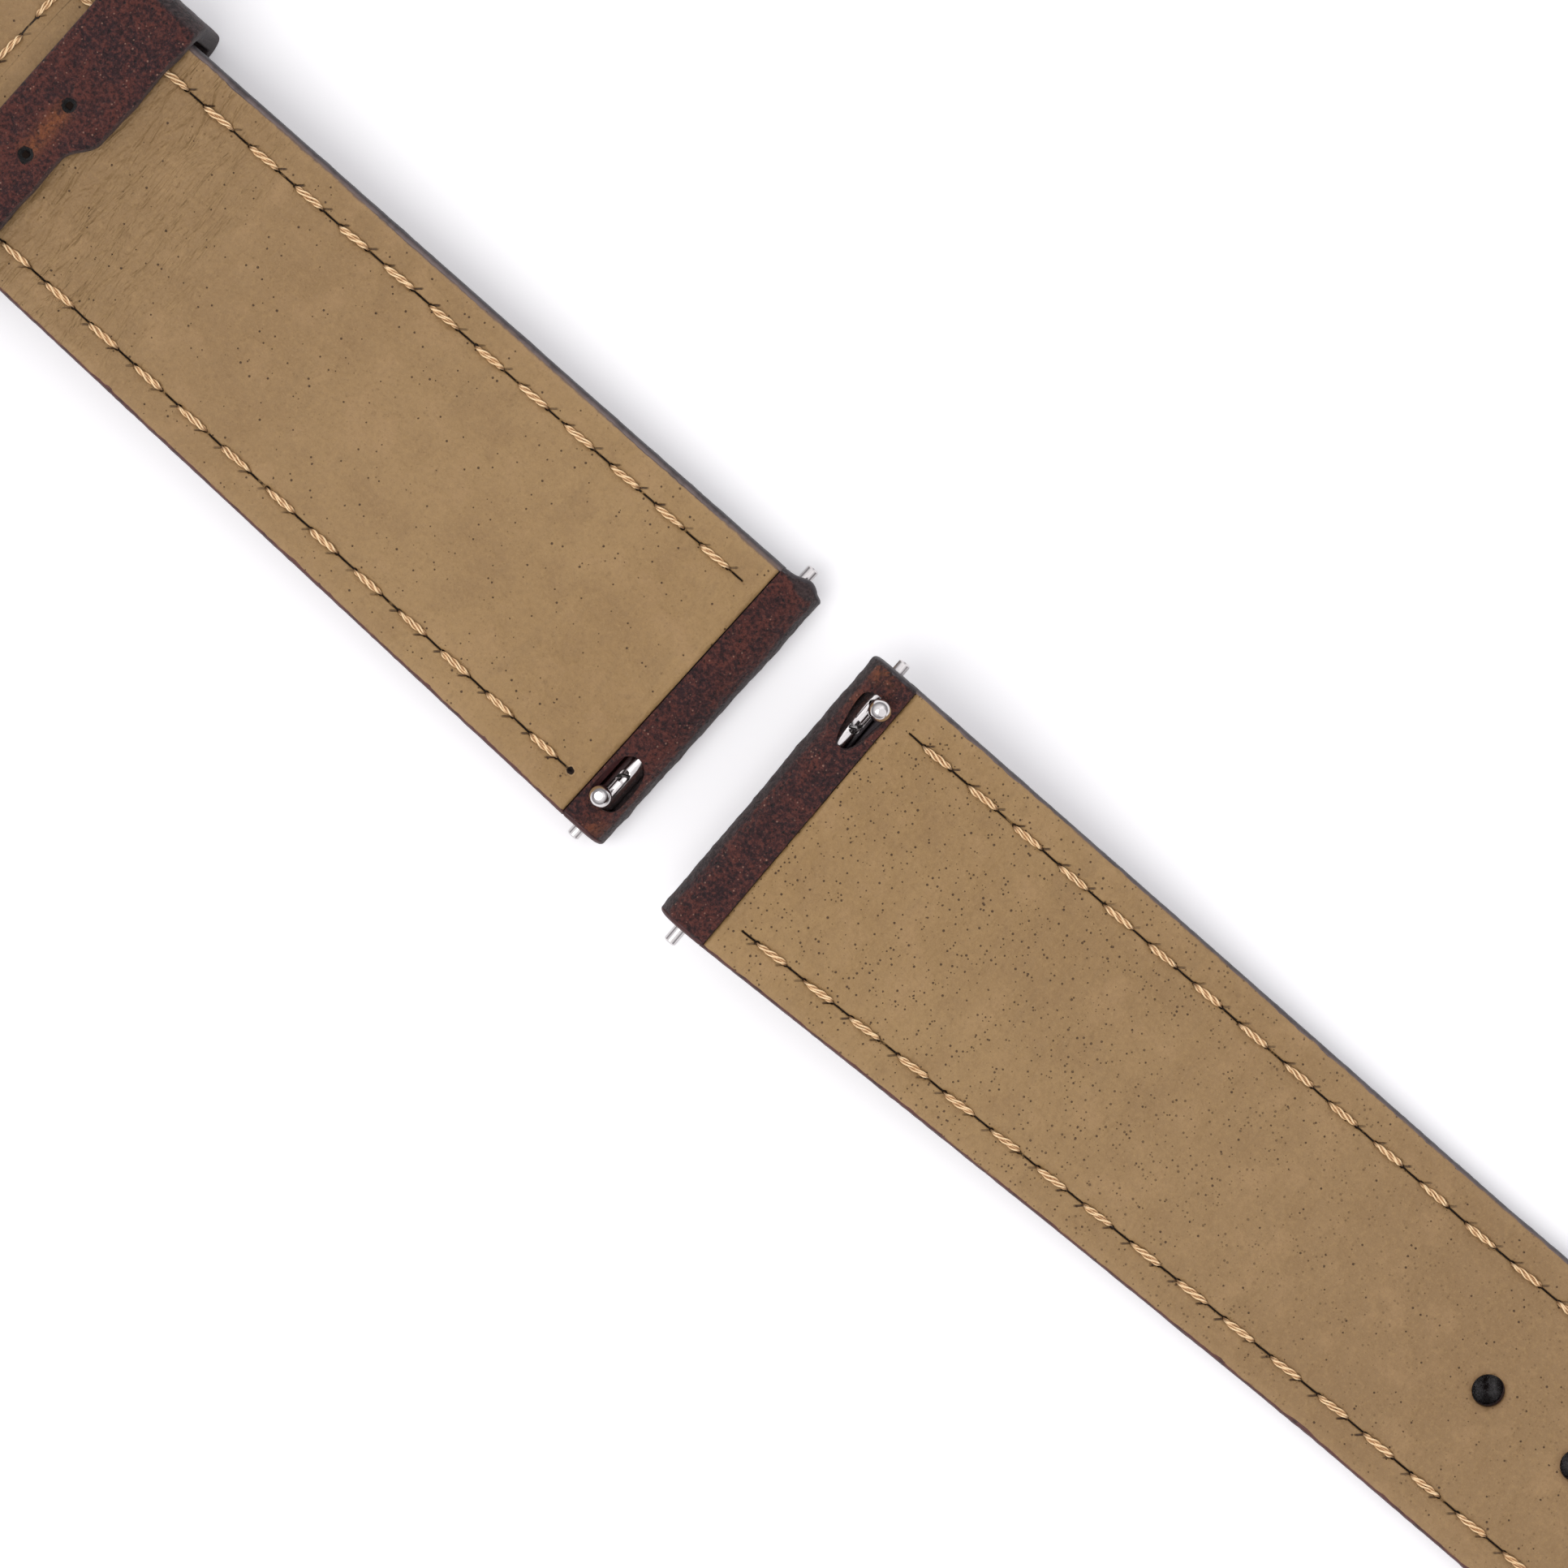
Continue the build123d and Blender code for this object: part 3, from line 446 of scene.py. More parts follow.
def slab_faces(rows, columns, closed=False, pointed=False):
    """Faces of a sheet with thickness: top, underside and the walls round it, with none at its point."""
    under = rows * columns
    faces = []
    for r in range(rows if closed else rows - 1):
        after = (r + 1) % rows
        for c in range(columns - 1):
            a, b = r * columns + c, after * columns + c
            faces.append((a, a + 1, b + 1, b))
            faces.append((under + a, under + b, under + b + 1, under + a + 1))
        first, last = r * columns, after * columns
        faces.append((first, last, under + last, under + first))
        far = columns - 1
        faces.append((last + far, first + far, under + first + far, under + last + far))
    if not closed:
        for c in range(columns - 1):
            faces.append((c + 1, c, under + c, under + c + 1))
            if not pointed:
                a = (rows - 1) * columns + c
                faces.append((a, a + 1, under + a + 1, under + a))
    return faces


def set_values(obj, **values):
    """Keeps numbers for the materials on a mesh's points."""
    for name, value in values.items():
        attribute = obj.data.attributes.new(name, "FLOAT", "POINT")
        attribute.data.foreach_set("value", np.ascontiguousarray(value, np.float32).ravel())


def make_slab(name, top, under, material, closed=False, pointed=False, **values):
    """Sheet with thickness between two grids of points."""
    rows, columns = top.shape[:2]
    points = np.concatenate([top.reshape(-1, 3), under.reshape(-1, 3)])
    obj = new_piece(name, points, slab_faces(rows, columns, closed, pointed), material)
    full = {key: np.broadcast_to(value, (rows, columns)).ravel() for key, value in values.items()}
    set_values(obj, **{key: np.concatenate([value, value]) for key, value in full.items()})
    return obj


def weld(obj, distance=0.0005):
    """Joins points that lie together and turns the faces outwards."""
    mesh = bmesh.new()
    mesh.from_mesh(obj.data)
    bmesh.ops.remove_doubles(mesh, verts=mesh.verts, dist=distance * MM)
    bmesh.ops.recalc_face_normals(mesh, faces=mesh.faces)
    if mesh.calc_volume(signed=True) < 0:
        bmesh.ops.reverse_faces(mesh, faces=mesh.faces)
    mesh.to_mesh(obj.data)
    mesh.free()


def prism(half, outline, bottom, top):
    """Cutter with a plan outline of (s, y) places, between two heights."""
    count = len(outline)
    s = np.array([p[0] for p in outline] * 2, float)
    y = np.array([p[1] for p in outline] * 2, float)
    n = np.array([bottom] * count + [top] * count, float)
    faces = [tuple(range(count))[::-1], tuple(range(count, 2 * count))]
    for i in range(count):
        j = (i + 1) % count
        faces.append((i, j, count + j, count + i))
    obj = new_piece("cutter", laid(half, s, y, n), faces, None)
    weld(obj)
    return obj


def open_edges(data):
    """How many edges of a mesh don't have a face on each side."""
    mesh = bmesh.new()
    mesh.from_mesh(data)
    count = sum(not edge.is_manifold for edge in mesh.edges)
    mesh.free()
    return count


def cut(obj, half, outline, bottom, top):
    """Takes a prism out of a mesh, moving the prism a little for as long as the cut doesn't close."""
    best = None
    allowed = open_edges(obj.data) + CUT_SLACK
    for attempt in range(CUT_ATTEMPTS):
        nudge = attempt * CUT_NUDGE
        cutter = prism(half, [(s + nudge, y + 0.7 * nudge) for s, y in outline], bottom, top)
        modifier = obj.modifiers.new("cut", "BOOLEAN")
        modifier.operation = "DIFFERENCE"
        modifier.solver = "EXACT"
        modifier.object = cutter
        bpy.context.view_layer.update()
        evaluated = obj.evaluated_get(bpy.context.evaluated_depsgraph_get())
        mesh = bpy.data.meshes.new_from_object(evaluated)
        obj.modifiers.clear()
        bpy.data.objects.remove(cutter)
        left_open = open_edges(mesh)
        if best is None or left_open < best[0]:
            best = (left_open, mesh)
        if left_open <= allowed:
            break
    obj.data = best[1]
    obj.data.shade_smooth()


def join(objects, name):
    """One object from several."""
    with bpy.context.temp_override(active_object=objects[0], selected_editable_objects=objects):
        bpy.ops.object.join()
    objects[0].name = name
    return objects[0]


# Materials


def tone(red, green, blue):
    """Linear colour from the one seen on a screen."""
    values = [c / 255 for c in (red, green, blue)]
    return [c / 12.92 if c <= 0.04045 else ((c + 0.055) / 1.055) ** 2.4 for c in values] + [1]


class Value:
    """Number in a material, worked out by ordinary arithmetic."""

    def __init__(self, tree, socket):
        self.tree = tree
        self.socket = socket

    def made(self, operation, *others):
        node = self.tree.nodes.new("ShaderNodeMath")
        node.operation = operation
        for slot, value in zip(node.inputs, (self, *others)):
            plug(self.tree, slot, value)
        return Value(self.tree, node.outputs[0])

    def __add__(self, other):
        return self.made("ADD", other)

    def __sub__(self, other):
        return self.made("SUBTRACT", other)

    def __mul__(self, other):
        return self.made("MULTIPLY", other)

    def __truediv__(self, other):
        return self.made("DIVIDE", other)

    def __abs__(self):
        return self.made("ABSOLUTE")

    def least(self, other):
        return self.made("MINIMUM", other)

    def most(self, other):
        return self.made("MAXIMUM", other)

    def within(self, inner, outer):
        """1 below inner, 0 above outer."""
        return self.step(inner, outer, 1, 0)

    def beyond(self, inner, outer):
        """0 below inner, 1 above outer."""
        return self.step(inner, outer, 0, 1)

    def step(self, low, high, start, end):
        node = self.tree.nodes.new("ShaderNodeMapRange")
        node.interpolation_type = "SMOOTHSTEP"
        for slot, value in zip(node.inputs, (self, low, high, start, end)):
            plug(self.tree, slot, value)
        return Value(self.tree, node.outputs[0])


def plug(tree, slot, value):
    """Links or sets one input."""
    if isinstance(value, Value):
        tree.links.new(value.socket, slot)
    elif isinstance(value, bpy.types.NodeSocket):
        tree.links.new(value, slot)
    else:
        slot.default_value = value


def mixed(tree, amount, first, second):
    """Colour that goes from the first to the second as the amount goes from 0 to 1."""
    node = tree.nodes.new("ShaderNodeMix")
    node.data_type = "RGBA"
    slots = [slot for slot in node.inputs if slot.enabled]
    for slot, value in zip(slots, (amount, first, second)):
        plug(tree, slot, value)
    return next(slot for slot in node.outputs if slot.enabled)


class Surface:
    """A material under construction, with its textures placed in millimetres on the object."""

    def __init__(self, name):
        self.material = bpy.data.materials.new(name)
        self.material.use_nodes = True
        self.tree = self.material.node_tree
        self.shader = self.tree.nodes["Principled BSDF"]
        place = self.tree.nodes.new("ShaderNodeTexCoord")
        scale = self.tree.nodes.new("ShaderNodeVectorMath")
        scale.operation = "SCALE"
        scale.inputs["Scale"].default_value = 1 / MM
        self.tree.links.new(place.outputs["Object"], scale.inputs[0])
        self.place = scale.outputs[0]
        self.bump_normal = None

    def node(self, kind, inputs, **properties):
        node = self.tree.nodes.new(kind)
        for key, value in properties.items():
            setattr(node, key, value)
        for key, value in inputs.items():
            plug(self.tree, node.inputs[key], value)
        return node

    def noise(self, scale, detail=3, roughness=0.5, stretch=None, distortion=0):
        place = self.place
        if stretch:
            place = self.node("ShaderNodeVectorMath", {0: place, 1: stretch}, operation="MULTIPLY").outputs[0]
        node = self.node("ShaderNodeTexNoise", {"Vector": place, "Scale": scale, "Detail": detail,
                                                "Roughness": roughness, "Distortion": distortion})
        return Value(self.tree, node.outputs["Fac"])

    def dots(self, scale, radius, share):
        """Scattered round dots of about one radius, in a share of the cells."""
        node = self.node("ShaderNodeTexVoronoi", {"Vector": self.place, "Scale": scale})
        distance = Value(self.tree, node.outputs["Distance"]) / scale
        split = self.node("ShaderNodeSeparateColor", {"Color": node.outputs["Color"]})
        draw = Value(self.tree, split.outputs["Red"])
        size = Value(self.tree, split.outputs["Green"]) * radius + radius * 0.5
        return (size - distance).beyond(0, radius * 0.6) * draw.within(share, share + 0.01)

    def value(self, name):
        node = self.node("ShaderNodeAttribute", {}, attribute_name=name)
        return Value(self.tree, node.outputs["Fac"])

    def blend(self, amount, first, second):
        return mixed(self.tree, amount, first, second)

    def bump(self, height, depth, strength=1.0):
        """Relief of a height value times a depth in millimetres."""
        inputs = {"Height": height, "Distance": abs(depth) * MM, "Strength": strength}
        if self.bump_normal:
            inputs["Normal"] = self.bump_normal
        self.bump_normal = self.node("ShaderNodeBump", inputs, invert=depth < 0).outputs["Normal"]

    def finish(self, **inputs):
        for key, value in inputs.items():
            plug(self.tree, self.shader.inputs[key.replace("_", " ")], value)
        if self.bump_normal:
            self.tree.links.new(self.bump_normal, self.shader.inputs["Normal"])
        return self.material


def mix_of(surface, base, *layers):
    """Colour built up from a base and (amount, colour) layers."""
    colour = base
    for amount, layer in layers:
        colour = surface.blend(amount, colour, layer)
    return colour


def stitch_marks(surface):
    """Slits between stitches and holes at their ends, painted dark as shade, and fine cracks, from a row's
    run and inset.
    """
    run = surface.value("run")
    hand = surface.value("hand")
    off = surface.value("inset") - ROW_INSET + (surface.noise(1.3, 2) - 0.5) * 0.09
    turns = (run - ROW_START) / STITCH_PITCH
    index = turns.made("FLOOR")
    place = (turns - index) * STITCH_PITCH
    chance = (index * 12.99 + hand * 3.7).made("SINE") * 43.76  # from 0 to 1, unlike from stitch to stitch
    chance = chance - chance.made("FLOOR")
    in_row = run.beyond(ROW_START - 1.25, ROW_START - 1.15) * surface.value("row_end")
    slit = abs(place - BETWEEN_STITCHES).within(0.6, 0.72) * abs(off).within(0.025, 0.065)
    far = place - STITCH_LENGTH
    near = place - place.beyond(BETWEEN_STITCHES, BETWEEN_STITCHES + 0.001) * STITCH_PITCH
    hole = abs(far).least(abs(near))
    hole = (hole * hole + off * off * 1.6).made("SQRT").within(0.09, 0.19)
    cracks = run * 0
    for end, length in ((near, 0.75), (far, 0.65)):
        along = end * hand * CRACK_ALONG - off * CRACK_ACROSS
        across = abs(end * -CRACK_ACROSS - off * hand * CRACK_ALONG + (chance - 0.5) * 0.05)
        line = across.within(0.025, 0.085) * along.beyond(0.02, 0.08) * along.within(length * 0.7, length)
        cracks = cracks.most(line * (chance * 0.6 + 0.4))
    slit = slit * surface.noise(1.4, 2).beyond(0.32, 0.42)
    return slit.most(hole) * in_row, cracks * in_row


def lining_material():
    """Smooth tan leather with pores, soft wrinkles, stitch slits and painted sides."""
    surface = Surface("tan_lining")
    broad = surface.noise(0.06, 2, 0.5)
    cloud = surface.noise(0.35, 4, 0.55)
    fine = surface.noise(3.2, 4, 0.6)
    grit = surface.noise(7.5, 3, 0.65)
    pored = surface.value("pored")
    few = surface.dots(3.2, 0.06, 0.2)
    many = surface.dots(4.0, 0.06, 0.42) * pored
    pores = few.most(many)
    smudge = surface.dots(1.6, 0.14, 0.12)
    streak = surface.noise(0.9, 3, 0.6, stretch=(1, 0.25, 1), distortion=0.4)
    wrinkle = surface.noise(0.8, 3, 0.6, stretch=(1.3, 0.35, 1), distortion=0.5) * surface.value("wrinkled")
    dark, fine_crack = stitch_marks(surface)
    inset = surface.value("inset")
    side = surface.value("side")
    ragged = surface.noise(1.7, 3, 0.6) * 0.5 - 0.25
    paint_reach = side.beyond(-0.5, 0.5) * (surface.value("lapped") * 0.22) + 0.12
    paint = (inset - ragged * 0.5 - paint_reach).within(-0.05, 0.1)
    base = surface.blend(broad.beyond(0.35, 0.65), tone(150, 119, 78), tone(159, 128, 86))
    base = surface.blend(surface.value("away") * 0.7, base, tone(138, 109, 75))
    colour = mix_of(
        surface, base,
        (cloud.beyond(0.5, 0.7) * 0.4, tone(166, 133, 94)),
        (cloud.within(0.32, 0.5) * 0.45, tone(140, 110, 74)),
        (streak.beyond(0.55, 0.7) * 0.35, tone(140, 112, 76)),
        (fine.beyond(0.5, 0.66) * 0.22, tone(172, 140, 96)),
        (fine.within(0.34, 0.5) * 0.22, tone(128, 100, 64)),
        (grit.beyond(0.58, 0.7) * 0.25, tone(180, 150, 106)),
        (grit.within(0.3, 0.4) * 0.35, tone(112, 86, 54)),
        (smudge * 0.3, tone(120, 92, 60)),
        (pores * 0.92, tone(70, 48, 30)),
        (inset.within(0.3, 1.0) * 0.2, tone(170, 139, 100)),
        (fine_crack * 0.95, tone(52, 32, 20)),
        # Painted shade: the stitch slits and holes drawn near black.
        (dark, tone(32, 20, 14)),
        (surface.value("rim") * 0.55, tone(112, 84, 56)),
        (surface.value("pit").beyond(0.1, 0.3) * 0.5, tone(190, 158, 120)),
        (surface.value("pit").beyond(0.4, 0.6), tone(34, 22, 18)),
        # Edge paint lapping the lining; the +y side's grey is a painted reflection on the wine paint.
        (paint * 0.8, surface.blend(side.beyond(-0.5, 0.5), tone(98, 58, 50), tone(92, 78, 78))),
    )
    surface.bump(grit, 0.03, 0.8)
    surface.bump(fine, 0.07, 0.8)
    surface.bump(cloud, 0.5, 0.8)
    surface.bump(wrinkle, 0.7, 0.9)
    surface.bump(streak, 0.25, 0.5)
    surface.bump(pores, -0.06, 0.9)
    surface.bump(dark.most(fine_crack * 0.5), -0.16)
    roughness = fine.beyond(0.2, 0.9) * 0.14 + 0.5
    return surface.finish(Base_Color=colour, Roughness=roughness, Specular_IOR_Level=0.32)


def suede_material(name, worn):
    """Dark burgundy leather with a napped face, light specks, pits and worn orange places, dark edge paint
    with painted grey sheen, and painted shade in the staple holes.
    """
    surface = Surface(name)
    broad = surface.noise(0.22, 3, 0.6)
    patch = surface.noise(1.1, 4, 0.65, distortion=0.6)
    grain = surface.noise(4.5, 5, 0.7)
    nap = surface.noise(11, 3, 0.7)
    specks = surface.dots(4.2, 0.055, 0.4) * patch.beyond(0.35, 0.55)
    pits = surface.dots(2.6, 0.09, 0.3)
    base = surface.blend(broad.beyond(0.38, 0.62), tone(58, 31, 33), tone(78, 39, 35))
    layers = [
        (patch.beyond(0.5, 0.66) * 0.6, tone(98, 48, 39)),
        (patch.within(0.36, 0.5) * 0.7, tone(42, 25, 30)),
        (grain.within(0.38, 0.5) * 0.85, tone(28, 15, 17)),
        (grain.beyond(0.5, 0.62) * 0.6, tone(112, 62, 52)),
        (pits * 0.85, tone(18, 11, 13)),
        (specks * 0.6, tone(172, 130, 112)),
    ]
    wear = surface.value("worn") * (grain.beyond(0.35, 0.55) * 0.6 + 0.4)
    wear = wear * (patch.beyond(0.35, 0.55) * 0.8 + 0.2)
    painted = (surface.value("painted") + (patch - 0.5) * 0.5).beyond(0.35, 0.7)
    layers += [
        (wear * worn, tone(150, 88, 50)),
        # Dark edge paint; its lighter grey flecks are painted sheen at grazing angles.
        (painted * 0.85, surface.blend(grain.beyond(0.4, 0.62), tone(32, 24, 26), tone(66, 55, 56))),
        # Black pits in the grain, and painted shade blackening the keeper's staple holes.
        ((surface.value("crease") + (grain + patch - 1) * 1.1).beyond(0.3, 0.4), tone(5, 3, 3)),
    ]
    colour = mix_of(surface, base, *layers)
    surface.bump(grain, 0.22, 0.8)
    surface.bump(nap, 0.07, 0.7)
    surface.bump(patch, 0.25, 0.6)
    surface.bump(pits, -0.08, 0.7)
    roughness = painted * -0.25 + 0.78
    return surface.finish(Base_Color=colour, Roughness=roughness, Specular_IOR_Level=0.25,
                          Sheen_Weight=0.12, Sheen_Roughness=0.5)


def paint_material():
    """Dark edge paint, uneven, wine red on the -y side and greyer on the +y side, where the grey is a painted
    reflection.
    """
    surface = Surface("edge_paint")
    patch = surface.noise(0.9, 4, 0.6, distortion=0.5)
    grain = surface.noise(5, 4, 0.65)
    side = surface.value("side").beyond(-0.5, 0.5)
    lap = surface.value("lap")
    # The +y side's grey is a painted reflection on the same wine paint.
    base = surface.blend(side, surface.blend(lap, tone(70, 32, 32), tone(92, 52, 46)),
                         surface.blend(lap, tone(54, 47, 51), tone(104, 90, 88)))
    dark = surface.blend(side, tone(44, 22, 23), surface.blend(lap, tone(36, 30, 33), tone(70, 60, 60)))
    colour = mix_of(
        surface, base,
        (patch.within(0.3, 0.55) * 0.8, dark),
        (grain.beyond(0.55, 0.8) * 0.4, tone(112, 98, 98)),
    )
    surface.bump(patch, 0.12, 0.7)
    surface.bump(grain, 0.03, 0.6)
    return surface.finish(Base_Color=colour, Roughness=grain * 0.2 + 0.38, Specular_IOR_Level=0.45)


def thread_material():
    """Waxed cream thread with fine fibres along each ply, painted highlight on each strand's outer side and
    painted shade on its inner side and where it dives.
    """
    surface = Surface("cream_thread")
    fibre = surface.noise(9, 3, 0.6)
    soil = surface.noise(0.8, 3, 0.6)
    shade = surface.value("dive")
    facing = surface.value("facing")
    colour = mix_of(
        surface, tone(240, 201, 152),
        # Painted highlight where a strand faces out of its ply, painted shade where it faces in.
        (facing.beyond(0.5, 1) * 0.7, tone(254, 230, 188)),
        (facing.within(-0.5, 0.4) * 0.7, tone(158, 112, 72)),
        (soil.beyond(0.45, 0.75) * 0.4, tone(214, 168, 116)),
        (fibre.within(0.3, 0.5) * 0.35, tone(190, 140, 96)),
        (fibre.beyond(0.55, 0.75) * 0.4, tone(250, 222, 184)),
        (shade * 0.85, tone(96, 60, 34)),
    )
    surface.bump(fibre, 0.03, 0.6)
    return surface.finish(Base_Color=colour, Roughness=fibre * 0.2 + 0.42, Specular_IOR_Level=0.4)


def steel_material(name, shade, roughness, brushed):
    """Bare metal with faint handling marks."""
    surface = Surface(name)
    marks = surface.noise(3, 3, 0.6, stretch=(0.3, 3, 3) if brushed else None)
    smear = surface.noise(0.7, 3)
    colour = surface.blend(smear.beyond(0.35, 0.7), tone(*shade), tone(*[c * 0.93 for c in shade]))
    surface.bump(marks, 0.004 if brushed else 0.0015, 0.5)
    return surface.finish(Base_Color=colour, Metallic=1.0, Roughness=marks * 0.12 + roughness)


LINING = lining_material()
SUEDE = suede_material("burgundy_suede", 0.9)
KEEPER_SUEDE = suede_material("keeper_suede", 0.75)
PAINT = paint_material()
THREAD = thread_material()
CHROME = steel_material("bar_chrome", (226, 222, 222), 0.08, False)
WIRE = steel_material("spring_wire", (190, 188, 186), 0.25, False)
BRUSHED = steel_material("buckle_steel", (205, 203, 200), 0.24, True)
BLACKENED = steel_material("blackened_steel", (34, 27, 24), 0.6, False)


# Leather layers


def world_side(half, y):
    """1 on the strap's +Y side in the row frame, -1 on the other."""
    return np.sign(y) * (-1 if half.turned_tail else 1)


def corner_bulge(half, s, y, n):
    """How far the short half's painted corner swells outwards by its pin."""
    if not half.turned_tail:
        return s * 0
    near_side = ease(0, 1, (-y - half_width(half, s) + 1.2) / 1.2)
    swell = np.exp(-((s - 1.2) / 0.85) ** 2 - ((n + 0.3) / 1.1) ** 2)
    notch = CORNER_NOTCH * np.exp(-((s - 0.45) / 0.12) ** 2)
    return -near_side * (CORNER_SWELL * swell - notch * swell)


def hole_places():
    """Places of the adjustment holes along the long half."""
    return [FIRST_HOLE + i * HOLE_PITCH for i in range(HOLE_COUNT)]


def hole_outline(place):
    """Plan of an adjustment hole, with no corner on the strap's middle line."""
    angle = [2 * math.pi * (i + 0.37) / HOLE_SEGMENTS for i in range(HOLE_SEGMENTS)]
    return [(place + HOLE_DIAMETER / 2 * math.cos(a), HOLE_DIAMETER / 2 * math.sin(a)) for a in angle]


def openings(half):
    """Plans of what goes right through the half: the tongue's slot, or the adjustment holes."""
    return [slot_outline()] if half.turned_tail else [hole_outline(place) for place in hole_places()]


def slot_outline():
    """Plan of the slot that the tongue swings in, rounded at its blind end."""
    middle = SHORT_LENGTH - TONGUE_SLOT_LENGTH + TONGUE_SLOT_WIDTH / 2 - 2 * SLOT_EASE
    angle = [math.pi / 2 + math.pi * i / 16 for i in range(17)]
    half_slot = TONGUE_SLOT_WIDTH / 2 + SLOT_EASE
    end = [(middle + half_slot * math.cos(a), half_slot * math.sin(a)) for a in angle]
    return end + [(SHORT_LENGTH + 2, -half_slot), (SHORT_LENGTH + 2, half_slot)]


def cut_keeping_values(obj, half, cutters):
    """Cuts a mesh and gives each new point the values of the old point nearest to it."""
    mesh = obj.data
    names = [a.name for a in mesh.attributes if a.domain == "POINT" and a.data_type == "FLOAT"]
    count = len(mesh.vertices)
    values = {}
    for name in names:
        values[name] = np.zeros(count, np.float32)
        mesh.attributes[name].data.foreach_get("value", values[name])
    tree = KDTree(count)
    for i, vertex in enumerate(mesh.vertices):
        tree.insert(vertex.co, i)
    tree.balance()
    for outline, bottom, top in cutters:
        cut(obj, half, outline, bottom, top)
    mesh = obj.data
    nearest = np.array([tree.find(v.co)[1] for v in mesh.vertices])
    for name in names:
        if name in mesh.attributes:
            mesh.attributes.remove(mesh.attributes[name])
    set_values(obj, **{name: value[nearest] for name, value in values.items()})


def lining_faces(half, plan, in_row, seed):
    """Levels of the lining's two faces, and how near each place is to a hole's rim and to the pit that ends
    the short half's row."""
    waves = rough(seed, (14, 0.03), (4, 0.012), (1.6, 0.004))
    rim = pit = plan.s * 0
    top = waves(plan.s, plan.y) * np.clip(plan.inset / 0.5, 0, 1) - round_over(plan.inset, LINING_EDGE_ROUND)
    top = top - seam_relief(plan.run, plan.inset - ROW_INSET, ROW_START, half.stitches + 4) * in_row
    top = top - SEAM_GROOVE * np.exp(-((plan.s - LINING_START) / 0.1) ** 2)
    under = plan.s * 0 - LINING_LEATHER
    if half.turned_tail:
        from_pit = np.hypot(plan.run - ROW_START + PIT_LEAD, plan.inset - ROW_INSET) + FAR * (plan.y < 0)
        pit = np.exp(-(from_pit / PIT_RADIUS) ** 4)
        top = top - PIT_DEPTH * pit
        top = top - SEAM_GROOVE * np.exp(-((half.length - LINING_START - plan.s) / 0.1) ** 2)
    else:
        for place in hole_places():
            away = np.hypot(plan.s - place, plan.y) - HOLE_DIAMETER / 2
            rim = np.maximum(rim, np.exp(-(away / 0.22) ** 2))
            top = top - HOLE_RIM_DEPTH * np.exp(-(np.clip(away, 0, None) / 0.2) ** 2)
        under = under - LINING_STEP * ease(0, 1, (plan.s - PAD_LENGTH) / 1.0)
    return top, under, rim, pit


def lining_rows(half, plan, in_row):
    """Each place's run and inset in the stitch row nearest to it, and how deep the cross rows press it in."""
    run, inset, pressed = plan.run, plan.inset, 0
    if half.turned_tail:
        for place in CROSS_ROW_PLACES:
            near_row = (np.abs(plan.s - place) < 0.8) & (np.abs(plan.y) < CROSS_ROW_REACH + 0.9)
            cross_run = plan.y + CROSS_ROW_REACH + ROW_START
            pressed = pressed + seam_relief(cross_run, plan.s - place, ROW_START, CROSS_STITCHES) * near_row
            run = np.where(near_row, cross_run, run)
            inset = np.where(near_row, ROW_INSET + plan.s - place, inset)
            in_row = np.where(near_row, 1, in_row)
    return run, inset, in_row, pressed


def make_lining(half, seed):
    """Tan lining of one half, with its stitch rows pressed in."""
    plan = plan_of(side_outline(half, LINING_START, half.length - LINING_START, ROW_STEP))
    in_row = np.where(is_sewn(half, plan.run), 1.0, 0.0)
    top, under, rim, pit = lining_faces(half, plan, in_row, seed)
    run, inset, in_row, pressed = lining_rows(half, plan, in_row)
    obj = make_slab(half.name + "_lining_skin", laid(half, plan.s, plan.y, top - pressed),
                    laid(half, plan.s, plan.y, under), LINING, pointed=not half.turned_tail,
                    run=run, inset=inset, hand=plan.hand, row_end=in_row, rim=rim, pit=pit,
                    side=world_side(half, plan.y), lapped=half.turned_tail,
                    away=np.clip((plan.s - 5) / 45, 0, 1),
                    wrinkled=np.exp(-((plan.s - WRINKLE_PLACE) / WRINKLE_REACH) ** 2) * half.turned_tail,
                    pored=0.15 if half.turned_tail else ease(1, 0.3, (plan.s - 12) / 45))
    weld(obj)
    cut_keeping_values(obj, half, [(outline, -2, 1) for outline in openings(half)])
    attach(obj, half.name + "_strap")
    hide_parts(half.name + "_lining")


def fold_path(radius, leather, step):
    """Side view of a fold, from its strip's inner edge round the nose and back: outer and inner line."""
    hollow = radius - leather
    strip = np.linspace(STRIP_WIDTH, radius, round((STRIP_WIDTH - radius) / step) + 1)
    angle = np.linspace(math.pi / 2, 3 * math.pi / 2, round(math.pi * radius / step) + 1)[1:-1]
    back = strip[::-1]
    outer_s = np.concatenate([strip, radius + radius * np.cos(angle), back])
    outer_n = np.concatenate([strip * 0, -radius + radius * np.sin(angle), back * 0 - 2 * radius])
    inner_s = np.concatenate([strip, radius + hollow * np.cos(angle), back])
    inner_n = np.concatenate([strip * 0 - leather, -radius + hollow * np.sin(angle),
                              back * 0 - 2 * radius + leather])
    return outer_s, outer_n, inner_s, inner_n


def window_outline(half):
    """Plan of the opening over the release bar: an oval on the short half, a lens on the long one."""
    count = 26
    shares = [0.5 - 0.5 * math.cos(math.pi * i / count) for i in range(count)]
    outline = []
    for hand, along in ((1, shares), (-1, [1 - share for share in shares])):
        for share in along:
            if half.turned_tail:
                across = OVAL_HALF_WIDTH * (1 - abs(2 * share - 1) ** (6 if share > 0.5 else 2.6)) ** 0.5
            else:
                across = LENS_HALF_WIDTH * share ** 0.3 * (1 - share ** 12) ** 0.5
            place = WINDOW_PLACE + (share - 0.5) * WINDOW_LENGTH
            outline.append((LUG_RADIUS + WINDOW_SHIFT + hand * across, place))
    return outline


def straight_side(s, width):
    """Side outline that runs along the strap at one width."""
    return [s, s * 0 + width, s * 0, s * 0 - 1]


